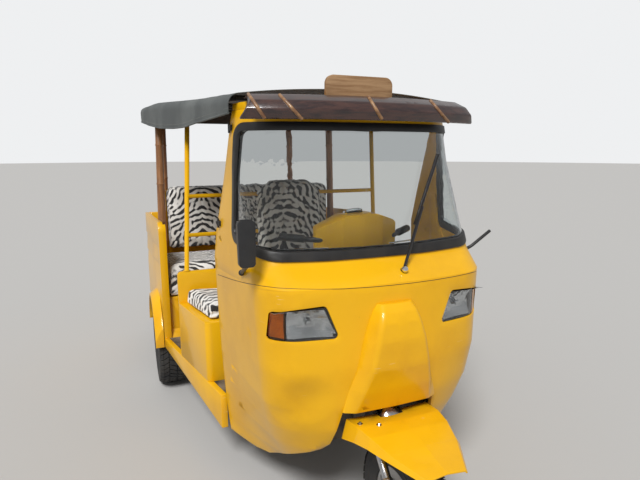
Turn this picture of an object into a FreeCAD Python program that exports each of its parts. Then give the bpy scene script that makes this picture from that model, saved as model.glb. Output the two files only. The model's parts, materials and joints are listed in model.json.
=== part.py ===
import FreeCAD, Part
import math
import os

# A three-wheeled passenger rickshaw: pressed front body with a wrapped windscreen, one steered
# front wheel on a trailing-link fork, a driver's box, a rear bench between flared side walls,
# bamboo posts and a fabric canopy. Millimetres. The nose points to -Y, the driver's left is +X.
# The origin is on the ground, under the middle of the whole vehicle.

V = FreeCAD.Vector
UP = V(0, 0, 1)
SIDES = (("right", -1), ("left", 1))

# wheels: tyre radius, tyre width, rim radius, rim width
wheel_sizes = {
    "front": (252.0, 120.0, 150.0, 84.0),
    "rear": (282.0, 165.0, 180.0, 118.0),
}
front_r = wheel_sizes["front"][0]
rear_r = wheel_sizes["rear"][0]
front_axle_y = -1370.0
rear_wheel_x = 658.0
rim_flange = 6.0
hub_r = 46.0
axle_r = 18.0
bore_gap = 0.3

# steering: the axis leans back and passes a point behind the nose's lower edge
rake_deg = 22.2
steer_y = -1202.0
steer_z = 560.0
stem_r = 16.0
head_tube_r = 28.0
head_tube_low = 97.0
head_tube_high = 455.0
stem_top = 694.0
fork_x = 96.0
fork_leg_r = 16.0
fork_slider_r = 20.0
crown_y = -1288.0
crown_z = 516.0
knee_y = -1390.0
knee_z = 396.0
front_spindle_r = 10.0
cowl_half = 192.0

# body heights and walls
floor_top = 400.0
floor_t = 30.0
floor_low = floor_top - floor_t
sheet = 20.0
wall = 28.0
frame_x = 280.0
frame_w = 60.0
frame_h = 60.0
cradle_ys = (-318.0, -78.0)
cradle_low = 280.0
axle_tube_r = 27.0
gear_case_r = 84.0
gear_case_w = 130.0
shaft_r = 22.0
engine_half = 175.0
engine_low = 320.0
engine_top = 600.0
spring_reach = 395.0
spring_w = 50.0
spring_t = 20.0

# sill line: half width of the body at its front and rear end
sill_front_y = -548.0
sill_front_x = 521.0
sill_rear_x = 704.0
sill_t = 30.0
sill_low_front = 228.0
sill_low_rear = 345.0

# driver's box, partition and rails
driver_foot_space = 153.0
box_front_y = sill_front_y + driver_foot_space
box_depth = 389.0
box_rear_y = box_front_y + box_depth
box_top = 710.0
box_corner = 32.0
partition_t = 25.0
passenger_foot_space = 308.0
bench_front_y = box_rear_y + partition_t + passenger_foot_space
bench_setback = 32.0
sill_rear_y = bench_front_y - bench_setback
rear_axle_y = bench_front_y + 273.0
partition_top = 885.0
pole_r = 12.5
pole_low_x = 586.0
pole_high_x = 548.0
rail_zs = (1086.0, 1300.0)
rail_r = 11.0
soft_gap = 0.3

# rear body
jamb_w = 42.0
jamb_d = 24.0
wall_mid_x = 716.0
wall_mid_y = rear_axle_y + 232.0
wall_end_x = 710.0
tail_y = rear_axle_y + 1025.0
wall_top_front = 1124.0
wall_top_rear = 1030.0
wall_low = 345.0
wall_corner = 60.0
# pressed boards of the side walls: height of each lower edge at the front and at the rear
board_edges = [(977.0, 869.0), (871.0, 728.0), (793.0, 596.0)]
board_depth = 7.0
arch_r = 306.0
arch_flare = 46.0
house_x = 548.0
house_t = 10.0
bench_dip = 49.0
deck_top = 650.0
deck_t = 20.0
bench_depth = 452.0
cushion_h = 200.0
back_y = bench_front_y + 461.0
back_t = 96.0
back_x = 606.0
back_low = 850.0
back_top = 1305.0
back_board_t = 12.0

# bamboo posts: size, spacing of the rings, places
bamboo_r = 25.0
bamboo_ring = 2.5
bamboo_step = 262.0
mid_post_y = rear_axle_y + 246.0
tail_post_y = tail_y - 73.0

# cab plan at each height: a bowed front, round corners and straight sides
# height, front y, bow radius, corner radius, rear x, rear y, side angle
cab_sections = [
    (200.0, -1060.0, 700.0, 200.0, 480.0, -569.0, 60.0),
    (300.0, -1124.0, 720.0, 222.0, 490.0, -566.0, 69.5),
    (410.0, -1184.0, 755.0, 225.0, 499.0, -563.0, 76.6),
    (510.0, -1224.0, 820.0, 190.0, 505.0, -559.0, 80.8),
    (620.0, -1247.0, 950.0, 155.0, 511.0, -555.0, 83.8),
    (760.0, -1253.0, 1300.0, 158.0, 516.0, -551.0, 85.0),
    (1073.0, -1238.0, 2200.0, 185.0, 525.0, -545.0, 85.4),
    (1140.0, -1124.0, 2900.0, 122.0, 520.0, -545.0, 85.5),
    (1500.0, -1030.0, 2000.0, 230.0, 496.5, -520.0, 87.5),
    (1700.0, -985.0, 2000.0, 240.0, 487.0, -520.0, 88.0),
]
lower_count = 7
# seam between the lower and upper cab, seen from the side: y, z
seam_line = [(-1400.0, 1084.0), (-400.0, 1018.0)]
dash_z = 1030.0
dash_t = 14.0
bulkhead_y = -955.0
bulkhead_t = 14.0
# rear edge of the cab's side, seen from the side
cab_rear_edge = [(1015.0, -540.0), (1190.0, -555.0), (1700.0, -775.0)]
roof_low = 1700.0
roof_rear_y = -775.0
roof_crown = 46.0
roof_edge = 22.0
# windscreen opening, seen from the side: y, z, corner radius
screen_outline = [(-1400.0, 1146.0, 0.0), (-1120.0, 1148.0, 0.0), (-1040.0, 1170.0, 0.0),
                  (-805.0, 1196.0, 55.0), (-805.0, 1652.0, 60.0), (-1400.0, 1652.0, 0.0)]
# brace inside each rear pillar's foot, seen from the side: y, z
gusset_outline = [(-752.0, 1062.0), (-985.0, 1062.0), (-975.0, 1102.0), (-870.0, 1150.0), (-822.0, 1215.0),
                  (-802.0, 1345.0), (-752.0, 1345.0)]
gusset_t = 6.0
seal_w = 32.0
seal_out = 6.0
glass_in = 4.0
glass_t = 6.0

# front wheel opening: half width by height
wheel_opening = [(200.0, 336.0), (304.0, 272.0), (429.0, 222.0), (603.0, 194.0)]
# lower edge of the front panel, seen from the side: height, y
panel_foot = [(556.0, -1300.0), (540.0, -1211.0), (439.0, -1163.0), (391.0, -1114.0), (309.0, -968.0),
              (206.0, -790.0), (200.0, -712.0), (236.0, -540.0), (236.0, -480.0)]
nose_wall = 8.0
nose_back_y = -1150.0
nose_sections = [
    # height, half width at the panel, front y
    (600.0, 200.0, -1260.0),
    (690.0, 178.0, -1292.0),
    (778.0, 152.0, -1314.0),
    (880.0, 127.0, -1315.0),
    (945.0, 106.0, -1304.0),
    (980.0, 92.0, -1288.0),
    (1004.0, 76.0, -1264.0),
]
# mudguard over the steered wheel, from rear to front
guard_rows = [
    # y, half width, ridge height, shoulder height, edge height
    (-1206.0, 193.0, 549.0, 556.0, 480.0),
    (-1300.0, 188.0, 566.0, 570.0, 516.0),
    (-1375.0, 174.0, 570.0, 568.0, 532.0),
    (-1465.0, 146.0, 560.0, 552.0, 533.0),
    (-1592.0, 82.0, 537.0, 529.0, 518.0),
]
# lamp outline and the pressed recess round it, seen from the front: x, z
lamp_outline = [(262.0, 1008.0), (447.0, 992.0), (455.0, 887.0), (214.0, 890.0)]
recess_outline = [(268.0, 1016.0), (458.0, 1000.0), (472.0, 860.0), (178.0, 856.0)]
recess_chord = [(178.0, -1236.0), (472.0, -1176.0)]
recess_depth = 12.0
lamp_split_x = 398.0
lamp_back = 5.0
lamp_depth = 46.0
lamp_gap = 1.0

# visor and sign
visor_x = 495.0
visor_bow_r = 1406.0
visor_front_y = -1100.0
sign_w = 290.0
sign_low = 1727.0
sign_h = 106.0
sign_t = 22.0
sign_y = -937.0

# canopy: sections from front to rear
canopy_sections = [
    # y, half width, lower edge, shoulder, crown
    (-838.0, 505.0, 1690.0, 1762.0, 1792.0),
    (box_rear_y + partition_t / 2, 606.0, 1664.0, 1800.0, 1836.0),
    (rear_axle_y + 85.0, 668.0, 1698.0, 1842.0, 1884.0),
    (tail_y, 700.0, 1770.0, 1880.0, 1926.0),
]
canopy_t = 6.0
canopy_shoulder_r = 46.0
frame_tube_r = 11.0


def box(x0, x1, y0, y1, z0, z1):
    """Solid block between two corners."""
    return Part.makeBox(x1 - x0, y1 - y0, z1 - z0, V(x0, y0, z0))


def rounded_wire(points, closed=True):
    """Wire through (point, radius) pairs, with an arc at each corner that has a radius."""
    count = len(points)
    starts, ends, arcs = [], [], []
    for i, (p, r) in enumerate(points):
        if r <= 0 or (not closed and i in (0, count - 1)):
            starts.append(p)
            ends.append(p)
            arcs.append(None)
            continue
        a = points[i - 1][0] - p
        b = points[(i + 1) % count][0] - p
        half = a.getAngle(b) / 2
        back = r / math.tan(half)
        middle = V(a).normalize() + V(b).normalize()
        centre = p + middle.normalize() * (r / math.sin(half))
        first = p + V(a).normalize() * back
        last = p + V(b).normalize() * back
        top = centre + (p - centre).normalize() * r
        starts.append(first)
        ends.append(last)
        arcs.append(Part.Arc(first, top, last).toShape())
    edges = []
    for i in range(count):
        if arcs[i]:
            edges.append(arcs[i])
        if i < count - 1 or closed:
            a, b = ends[i], starts[(i + 1) % count]
            if (a - b).Length > 1e-6:
                edges.append(Part.LineSegment(a, b).toShape())
    return Part.Wire(edges)


def prism(points, along, radius=0.0):
    """Closed outline pushed along a vector. A point is a vector or a (vector, radius) pair."""
    pairs = [p if isinstance(p, tuple) else (p, radius) for p in points]
    return Part.Face(rounded_wire(pairs)).extrude(along)


def plan_prism(points, z0, z1, radius=0.0):
    """Outline of (x, y) points between two heights."""
    return prism([V(x, y, z0) for x, y in points], V(0, 0, z1 - z0), radius)


def side_prism(points, x0, x1, radius=0.0):
    """Outline of (y, z) points between two x places."""
    return prism([V(x0, y, z) for y, z in points], V(x1 - x0, 0, 0), radius)


def rod(a, b, r):
    """Round bar between two points."""
    return Part.makeCylinder(r, (b - a).Length, a, b - a)


def tube_run(points, r):
    """Round bar through several points, bent between them on arcs."""
    lengths = [(b - a).Length for a, b in zip(points, points[1:])]
    route = [(points[0], 0.0)]
    for i, p in enumerate(points[1:-1]):
        turn = (p - points[i]).getAngle(points[i + 2] - p)
        most = 0.4 * min(lengths[i], lengths[i + 1]) / max(math.tan(turn / 2), 0.01)
        route.append((p, min(most, max(4.0 * r, 40.0))))
    route.append((points[-1], 0.0))
    path = rounded_wire(route, closed=False)
    ring = Part.Wire(Part.makeCircle(r, points[0], points[1] - points[0]))
    return path.makePipeShell([ring], True, True)


def mirrored(shape, side):
    """The shape as drawn for the left side, or its mirror for the right."""
    return shape if side > 0 else shape.mirror(V(0, 0, 0), V(1, 0, 0))


def both(shape):
    """A left-side shape with its right-side twin, as two solids of one node."""
    return Part.makeCompound([shape, mirrored(shape, -1)])


def cab_wire(section, inwards, z=None, rear_more=0.0):
    """Closed plan of the cab: bow arc, two corner arcs, two straight sides and a back line."""
    height, front, bow, corner, rear_x, rear_y, side_deg = section
    z = height if z is None else z
    bow, corner = bow - inwards, max(corner - inwards, 8.0)
    bow_y = front + inwards + bow
    a = math.radians(side_deg)
    d = V(math.cos(a), math.sin(a), 0)
    n = V(d.y, -d.x, 0)
    rear = V(rear_x, rear_y, 0) - n * inwards
    rear = rear + d * (rear_more / d.y)
    # the corner's centre is one corner radius inside the side line and touches the bow
    p = rear - n * corner - V(0, bow_y, 0)
    reach = bow - corner
    along = -p.dot(d) - math.sqrt(p.dot(d) ** 2 - p.dot(p) + reach ** 2)
    centre = p + d * along
    touch = V(centre).normalize() * bow
    mid = V(centre + n * corner) - centre
    mid = mid.normalize() + V(centre).normalize()
    knee = centre + mid.normalize() * corner
    side = centre + n * corner
    shift = V(0, bow_y, z)
    touch, knee, side = touch + shift, knee + shift, side + shift
    rear = V(rear.x, rear.y, z)

    def flip(v):
        return V(-v.x, v.y, v.z)
    top = V(0, front + inwards, z)
    curves = [Part.LineSegment(flip(rear), flip(side)), Part.Arc(flip(side), flip(knee), flip(touch)),
              Part.Arc(flip(touch), top, touch), Part.Arc(touch, knee, side),
              Part.LineSegment(side, rear), Part.LineSegment(rear, flip(rear))]
    return Part.Wire([c.toShape() for c in curves])


def cab_solid(inwards=0.0, first=0, last=None, low=None, high=None, rear_more=0.0):
    """Solid body of the cab through its plan sections, moved inwards by a wall."""
    rows = cab_sections[first:last]
    wires = []
    for i, section in enumerate(rows):
        z = section[0]
        if low is not None and i == 0:
            z = low
        if high is not None and i == len(rows) - 1:
            z = high
        wires.append(cab_wire(section, inwards, z, rear_more))
    return Part.makeLoft(wires, True, True)


def inside(gap=0.0):
    """Room inside the cab's skin."""
    return cab_solid(sheet + gap, low=cab_sections[0][0] - 1, high=roof_low + 1, rear_more=60.0)


def above_seam(gap=0.0):
    (y0, z0), (y1, z1) = seam_line
    return side_prism([(y0, z0 + gap), (y1, z1 + gap), (y1, 1900.0), (y0, 1900.0)], -700.0, 700.0)


def sill_x(y):
    """Half width of the body's outer line beside the floor."""
    return sill_front_x + (y - sill_front_y) * (sill_rear_x - sill_front_x) / (sill_rear_y - sill_front_y)


def axis_dir():
    """Direction of the steering axis, upwards."""
    a = math.radians(rake_deg)
    return V(0, math.sin(a), math.cos(a))


def on_axis(s):
    """Point on the steering axis, s above its foot."""
    return V(0, steer_y, steer_z) + axis_dir() * s


# frame, floor and driveline

def chassis_frame():
    front, rear = bulkhead_y, tail_y - 45.0
    low = floor_low - frame_h
    rail = box(frame_x - frame_w / 2, frame_x + frame_w / 2, front, rear, low, floor_low)
    parts = [rail, mirrored(rail, -1)]
    for y in (front + 25.0, rear_axle_y + 430.0, rear - 25.0):
        parts.append(box(-frame_x, frame_x, y - 25.0, y + 25.0, low, floor_low))
    for y in cradle_ys:
        parts.append(box(-frame_x - 25.0, frame_x + 25.0, y - 25.0, y + 25.0, cradle_low, engine_low))
    neck = side_prism([(front + 12.0, 312.0), (front, 312.0), (front - 22.0, 430.0), (-1080.0, 600.0),
                       (-1138.0, 716.0), (-1096.0, 818.0), (-1004.0, 590.0), (front + 12.0, 420.0)],
                      -head_tube_r, head_tube_r)
    head = rod(on_axis(head_tube_low), on_axis(head_tube_high), head_tube_r)
    shape = parts[0].fuse(parts[1:] + [neck, head]).removeSplitter()
    return shape.cut(rod(on_axis(head_tube_low - 60.0), on_axis(head_tube_high + 60.0), stem_r + 1.0))


def floor_pan():
    front = box(-540.0, 540.0, bulkhead_y, sill_front_y, floor_low, floor_top).common(inside(0.2))
    inner = sill_t * 1.03
    half = [(sill_x(sill_front_y) - inner, sill_front_y), (sill_x(sill_rear_y) - inner, sill_rear_y),
            (house_x, sill_rear_y), (house_x, rear_axle_y + 340.0), (wall_end_x - wall, rear_axle_y + 340.0),
            (wall_end_x - wall, tail_y - wall)]
    outline = half + [(-x, y) for x, y in reversed(half)]
    pan = plan_prism(outline, floor_low, floor_top).fuse(front).removeSplitter()
    neck = box(-head_tube_r, head_tube_r, bulkhead_y - 1, bulkhead_y + 12.0, floor_low - 1, floor_top + 1)
    bay = box(-engine_half - 25.0, engine_half + 25.0, box_front_y + 32.0, box_rear_y - 17.0,
              floor_low - 1, floor_top + 1)
    return pan.cut([bay, neck])


def engine_block():
    y0, y1 = box_front_y + 42.0, box_rear_y - 27.0
    body = box(-engine_half, engine_half, y0, y1, engine_low, engine_top)
    head = box(-110.0, 110.0, y0 + 35.0, y1 - 45.0, engine_top, engine_top + 68.0)
    return body.fuse(head).removeSplitter()


def rear_axle():
    """Axle tube with its spindles, the gear case and the shaft that drives it."""
    centre = V(0, rear_axle_y, rear_r)
    tube = rod(centre - V(565.0, 0, 0), centre + V(565.0, 0, 0), axle_tube_r)
    spindle = rod(centre - V(rear_wheel_x, 0, 0), centre + V(rear_wheel_x, 0, 0), axle_r)
    case = rod(centre - V(gear_case_w / 2, 0, 0), centre + V(gear_case_w / 2, 0, 0), gear_case_r)
    shaft = rod(V(0, box_rear_y - 38.0, 334.0), centre + V(0, -20.0, 4.0), shaft_r).cut(engine_block())
    return tube.fuse([spindle, case, shaft]).removeSplitter()


def leaf_springs():
    seat = rear_r - axle_tube_r
    rise = floor_low - frame_h - seat
    ys = (rear_axle_y - spring_reach, rear_axle_y, rear_axle_y + spring_reach)
    zs = (seat - spring_t + rise, seat - spring_t, seat - spring_t + rise)
    lower = Part.Arc(*[V(0, y, z) for y, z in zip(ys, zs)]).toShape()
    upper = Part.Arc(*[V(0, y, z + spring_t) for y, z in zip(ys, zs)]).toShape()
    ends = [Part.LineSegment(V(0, y, zs[0]), V(0, y, zs[0] + spring_t)).toShape() for y in (ys[0], ys[2])]
    leaf = Part.Face(Part.Wire(Part.__sortEdges__([lower, ends[0], upper, ends[1]])))
    leaf = leaf.extrude(V(spring_w, 0, 0))
    leaf.translate(V(frame_x - spring_w / 2, 0, 0))
    block = box(frame_x - spring_w / 2, frame_x + spring_w / 2, rear_axle_y - 30.0, rear_axle_y + 30.0,
                seat - 2.0, seat + 14.0)
    axle = rod(V(0, rear_axle_y, rear_r), V(565.0, rear_axle_y, rear_r), axle_tube_r)
    return both(leaf.fuse(block).cut(axle).removeSplitter())


# front body

def wheel_opening_prism():
    half = [(x, z) for z, x in wheel_opening]
    points = [V(x, -1500.0, z) for x, z in half] + [V(-x, -1500.0, z) for x, z in reversed(half)]
    return prism(points, V(0, 800.0, 0))


def recess_wire(outline, depth, corner, grow=0.0):
    """Outline on an upright plane that follows the panel's chord, at a depth behind it."""
    (x0, y0), (x1, y1) = recess_chord
    cx = sum(x for x, z in outline) / len(outline)
    cz = sum(z for x, z in outline) / len(outline)
    points = []
    for x, z in outline:
        gx, gz = x + math.copysign(grow, x - cx), z + math.copysign(grow, z - cz)
        points.append((V(gx, y0 + (gx - x0) * (y1 - y0) / (x1 - x0) + depth, gz), corner))
    return rounded_wire(points)


def lamp_recess():
    """Dished surround of the lamp: it slopes in from its outline to the lamp's edge."""
    reach = recess_depth * 3.0
    near = [(x + (x - a) * 2.0, z + (z - b) * 2.0) for (x, z), (a, b) in zip(recess_outline, lamp_outline)]
    return Part.makeLoft([recess_wire(near, -reach * 2.0 + recess_depth, 26.0),
                          recess_wire(lamp_outline, recess_depth, 14.0, lamp_gap)], True, True)


def lamp_prism(grow, y0, y1):
    """Lamp outline of the left side, from the front."""
    cx = sum(x for x, z in lamp_outline) / 4
    cz = sum(z for x, z in lamp_outline) / 4
    points = []
    for x, z in lamp_outline:
        points.append((V(x + math.copysign(grow, x - cx), y0, z + math.copysign(grow, z - cz)), 14.0 + grow))
    return prism(points, V(0, y1 - y0, 0))


def front_panel():
    """Lower cab skin up to the seam."""
    outer = cab_solid(last=lower_count)
    below = side_prism([(y, z) for z, y in panel_foot] + [(-480.0, 100.0), (-1300.0, 100.0)], -600.0, 600.0)
    lamps = [mirrored(lamp_prism(lamp_gap, -1300.0, -1000.0), side) for name, side in SIDES]
    recesses = [mirrored(lamp_recess(), side) for name, side in SIDES]
    skin = outer.cut([inside(), wheel_opening_prism(), below, above_seam()] + lamps + recesses)
    return max(skin.Solids, key=lambda p: p.Volume)


def lamp_bowl():
    """The lens unit that fills the opening, a little behind the skin."""
    outer = cab_solid(lamp_back, last=lower_count)
    inner = cab_solid(lamp_depth, last=lower_count, low=150.0, high=1100.0, rear_more=60.0)
    return lamp_prism(0.0, -1300.0, -1000.0).common(outer.cut(inner))


def indicator_side():
    return box(lamp_split_x, 600.0, -1400.0, -900.0, 700.0, 1100.0)


def headlamps():
    return both(lamp_bowl().cut(indicator_side()))


def indicators():
    return both(lamp_bowl().common(indicator_side()))


def nose_loft(inwards, first_z, last_drop):
    wires = []
    for i, (z, half, front_y) in enumerate(nose_sections):
        z = first_z if i == 0 else z
        z = z - last_drop if i == len(nose_sections) - 1 else z
        foot = half - inwards
        face = front_y + inwards
        points = [(V(foot, nose_back_y, z), 0.0), (V(foot, -1234.0, z), 12.0),
                  (V(0.78 * foot, face + 5.0, z), 24.0), (V(0, face, z), 300.0)]
        points += [(V(-p.x, p.y, p.z), r) for p, r in reversed(points[:-1])]
        wires.append(rounded_wire(points))
    return Part.makeLoft(wires, True, True)


def nose_fairing():
    """Tapered cover over the steering head, open below and towards the cab."""
    outer = nose_loft(0.0, nose_sections[0][0], 0.0)
    inner = nose_loft(nose_wall, nose_sections[0][0] - 1.0, nose_wall)
    return outer.cut([inner, cab_solid(-soft_gap)])


def bulkhead():
    """Upright panel in front of the driver's feet, with the dash shelf on top."""
    y0, y1 = bulkhead_y, bulkhead_y + bulkhead_t
    plate = box(-540.0, 540.0, y0, y1, floor_top, dash_z + dash_t)
    dash = box(-540.0, 540.0, -1300.0, y1, dash_z, dash_z + dash_t)
    neck = side_prism([(y0 - 1, 300.0), (y1 + 1, 300.0), (y1 + 1, 460.0), (y0 - 1, 500.0)],
                      -head_tube_r, head_tube_r)
    column = rod(on_axis(head_tube_high), on_axis(head_tube_high + 120.0), stem_r + 6.0)
    return plate.fuse(dash).common(inside(0.2)).cut([neck, column]).removeSplitter()


def side_view_prism(shrink):
    """Windscreen opening from the side, made smaller all round by the seal's width."""
    grow = [(0, 1), (0, 1), (0, 1), (-1, 1), (-1, -1), (0, -1)]
    points = []
    for (y, z, r), (gy, gz) in zip(screen_outline, grow):
        points.append((V(-700.0, y + gy * shrink, z + gz * shrink), max(r - shrink, 0.0)))
    return prism(points, V(1400.0, 0, 0))


def cab_side_prism():
    """Everything in front of the cab's rear edge, from the side."""
    low, high = cab_rear_edge[0][0], cab_rear_edge[-1][0]
    points = [(-1400.0, low)] + [(y, z) for z, y in cab_rear_edge] + [(-1400.0, high)]
    return side_prism(points, -700.0, 700.0)


def pillar_gussets():
    """Plates inside the skin that brace the foot of each rear pillar."""
    layer = cab_solid(sheet).cut(cab_solid(sheet + gusset_t, low=190.0, high=roof_low + 1, rear_more=60.0))
    return layer.common(side_prism(gusset_outline, -700.0, 700.0))


def windscreen_frame():
    """Upper cab: cowl above the seam, pillars and header round the windscreen."""
    skin = cab_solid().cut(inside()).common(above_seam()).common(cab_side_prism())
    skin = skin.cut(side_view_prism(0.0))
    return skin.fuse(pillar_gussets()).removeSplitter()


def windscreen_seal():
    outer = cab_solid(-seal_out)
    ring = side_view_prism(0.0).cut(side_view_prism(seal_w))
    shape = outer.cut(inside(-soft_gap)).common(ring)
    return max(shape.Solids, key=lambda p: p.Volume)


def windscreen_glass():
    outer = cab_solid(glass_in)
    inner = cab_solid(glass_in + glass_t, low=190.0, high=roof_low + 1, rear_more=60.0)
    shape = outer.cut(inner).common(side_view_prism(seal_w))
    return max(shape.Solids, key=lambda p: p.Volume)


def crowned_plate(y0, y1, half0, half1, low, edge, crown):
    """Roof skin: flat below, crowned across, edges of a given height."""
    wires = []
    for y, half in ((y0, half0), (y1, half1)):
        arc = Part.Arc(V(-half, y, low + edge), V(0, y, low + crown), V(half, y, low + edge)).toShape()
        lines = [(V(half, y, low + edge), V(half, y, low)), (V(half, y, low), V(-half, y, low)),
                 (V(-half, y, low), V(-half, y, low + edge))]
        wires.append(Part.Wire([arc] + [Part.LineSegment(a, b).toShape() for a, b in lines]))
    return Part.makeLoft(wires, True, True)


def front_roof(gap=0.0):
    top = cab_sections[-1]
    column = Part.Face(cab_wire(top, -gap, roof_low)).extrude(V(0, 0, 200.0))
    plate = crowned_plate(top[1] - 20.0, roof_rear_y, 520.0, 520.0, roof_low, roof_edge + gap,
                          roof_crown + gap)
    return plate.common(column).removeSplitter()


def sun_visor():
    """Rolled visor over the windscreen, bowed forward in plan and cut obliquely at its ends."""
    y = visor_front_y
    section = [(V(0, y + 150.0, 1753.0), 0.0), (V(0, y + 78.0, 1748.0), 20.0), (V(0, y + 20.0, 1722.0), 20.0),
               (V(0, y, 1690.0), 14.0), (V(0, y + 12.0, 1656.0), 6.0), (V(0, y + 26.0, 1656.0), 5.0),
               (V(0, y + 18.0, 1690.0), 10.0), (V(0, y + 38.0, 1710.0), 12.0), (V(0, y + 86.0, 1732.0), 12.0),
               (V(0, y + 150.0, 1738.0), 0.0)]
    face = Part.Face(rounded_wire(section))
    half = math.degrees(math.asin(visor_x / visor_bow_r)) + 2.0
    centre = V(0, y + visor_bow_r, 0)
    face.rotate(centre, UP, -half)
    sheet_roll = face.revolve(centre, UP, 2 * half)
    ends = [(-visor_x, 1640.0), (visor_x, 1640.0), (visor_x, 1662.0), (visor_x - 70.0, 1780.0),
            (-visor_x + 70.0, 1780.0), (-visor_x, 1662.0)]
    ends = [V(x, -1300.0, z) for x, z in ends]
    rolled = sheet_roll.common(prism(ends, V(0, 600.0, 0)))
    shape = rolled.cut([cab_solid(-soft_gap), front_roof(soft_gap)])
    return max(shape.Solids, key=lambda p: p.Volume)


def roof_sign():
    half = sign_w / 2
    points = [(V(-half, sign_y, sign_low), 6.0), (V(half, sign_y, sign_low), 6.0),
              (V(half, sign_y, sign_low + sign_h), 32.0), (V(-half, sign_y, sign_low + sign_h), 32.0)]
    board = prism(points, V(0, sign_t, 0))
    return board.cut(front_roof(soft_gap))


# middle body

def sills():
    outer = [(sill_x(sill_front_y), sill_front_y), (sill_x(sill_rear_y), sill_rear_y)]
    plan = outer + [(x - sill_t, y) for x, y in reversed(outer)]
    skirt = plan_prism(plan, 200.0, floor_top)
    below = side_prism([(-600.0, 150.0), (400.0, 150.0), (400.0, sill_low_rear + 12.0),
                        (sill_rear_y, sill_low_rear), (sill_front_y, sill_low_front),
                        (-600.0, sill_low_front)], 300.0, 900.0)
    return both(skirt.cut(below))


def box_plan(inwards):
    """Plan of the driver's box, front corners first."""
    front, rear = box_front_y + inwards, box_rear_y - (inwards if inwards > sheet else 0.0)
    points = [(V(sill_x(front) - inwards, front, 0), max(box_corner - inwards, 4.0)),
              (V(sill_x(rear) - inwards, rear, 0), 0.0)]
    return points + [(V(-p.x, p.y, 0), r) for p, r in reversed(points)]


def at_height(pairs, z):
    return [(V(p.x, p.y, z), r) for p, r in pairs]


def driver_box():
    outer = prism(at_height(box_plan(0.0), floor_top), V(0, 0, box_top - floor_top))
    inner = prism(at_height(box_plan(sheet), floor_top - 1), V(0, 0, box_top - sheet - floor_top + 1))
    return outer.cut(inner)


def driver_cushion():
    return prism(at_height(box_plan(26.0), box_top + soft_gap), V(0, 0, 84.0))


def partition():
    y = box_rear_y
    half = sill_x(y)
    points = [(V(-half, y, floor_top), 0.0), (V(half, y, floor_top), 0.0),
              (V(half, y, partition_top), 24.0), (V(-half, y, partition_top), 24.0)]
    return prism(points, V(0, partition_t, 0))


def pole_x(z):
    """Half distance of the leaning poles at a height."""
    return pole_low_x + (z - partition_top) * (pole_high_x - pole_low_x) / (1665.0 - partition_top)


def guard_rails():
    y = box_rear_y + partition_t / 2
    top = frame_z(y) - frame_tube_r - 0.9
    shapes = []
    for side in (1, -1):
        shapes.append(rod(V(side * pole_low_x, y, partition_top), V(side * pole_x(top), y, top), pole_r))
    for z in rail_zs:
        shapes.append(rod(V(-pole_x(z), y, z), V(pole_x(z), y, z), rail_r))
    foot = [rod(V(s * pole_low_x, y, partition_top), V(s * pole_low_x, y, partition_top + 4.0), pole_r + 8.0)
            for s in (1, -1)]
    foot = [f.common(box(-900.0, 900.0, box_rear_y, box_rear_y + partition_t, 800.0, 1000.0)) for f in foot]
    return shapes[0].fuse(shapes[1:] + foot).cut(partition()).removeSplitter()


def driver_backrest():
    y1 = box_rear_y + partition_t / 2 - rail_r - soft_gap
    y0 = y1 - 62.0
    points = [(V(-203.0, y0, 890.0), 24.0), (V(203.0, y0, 890.0), 24.0), (V(203.0, y0, 1310.0), 40.0),
              (V(118.0, y0, 1385.0), 40.0), (V(-118.0, y0, 1385.0), 40.0), (V(-203.0, y0, 1310.0), 40.0)]
    return prism(points, V(0, y1 - y0, 0))


# rear body

def wall_chain(shift):
    """Outer plan line of the left side wall, moved inwards."""
    return [(sill_rear_x - shift, sill_rear_y), (wall_mid_x - shift, wall_mid_y), (wall_end_x - shift, tail_y)]


def wheel_cylinder(r, x0, x1):
    return Part.makeCylinder(r, x1 - x0, V(x0, rear_axle_y, rear_r), V(1, 0, 0))


def arch_flare_ring():
    """Flared lip round the wheel opening, as a turned wedge."""
    x = wall_mid_x - 4.0
    profile = [V(x - 4.0, rear_axle_y, rear_r + arch_r), V(x + arch_flare, rear_axle_y, rear_r + arch_r + 2.0),
               V(x + arch_flare, rear_axle_y, rear_r + arch_r + 14.0),
               V(x + 8.0, rear_axle_y, rear_r + arch_r + 44.0), V(x - 4.0, rear_axle_y, rear_r + arch_r + 48.0)]
    wedge = Part.Face(Part.makePolygon(profile + profile[:1]))
    ring = wedge.revolve(V(0, rear_axle_y, rear_r), V(1, 0, 0), 360)
    keep = box(600.0, 900.0, sill_rear_y + 1.0, 960.0, wall_low, 700.0)
    return ring.common(keep)


def board_cut(low, high):
    """Wedge between two board edges, so that each board leans in towards its top."""
    wires = []
    y_end = tail_y + 1.0
    for x, y in [(sill_rear_x, sill_rear_y + jamb_d), (wall_mid_x, wall_mid_y), (wall_end_x, y_end)]:
        share = (y - sill_rear_y) / (tail_y - sill_rear_y)
        z0 = low[0] + (low[1] - low[0]) * share
        z1 = high[0] + (high[1] - high[0]) * share
        wires.append(Part.makePolygon([V(x + 0.5, y, z0), V(x + 30.0, y, z0), V(x + 30.0, y, z1),
                                       V(x - board_depth, y, z1), V(x + 0.5, y, z0)]))
    return Part.makeLoft(wires, True, True)


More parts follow.
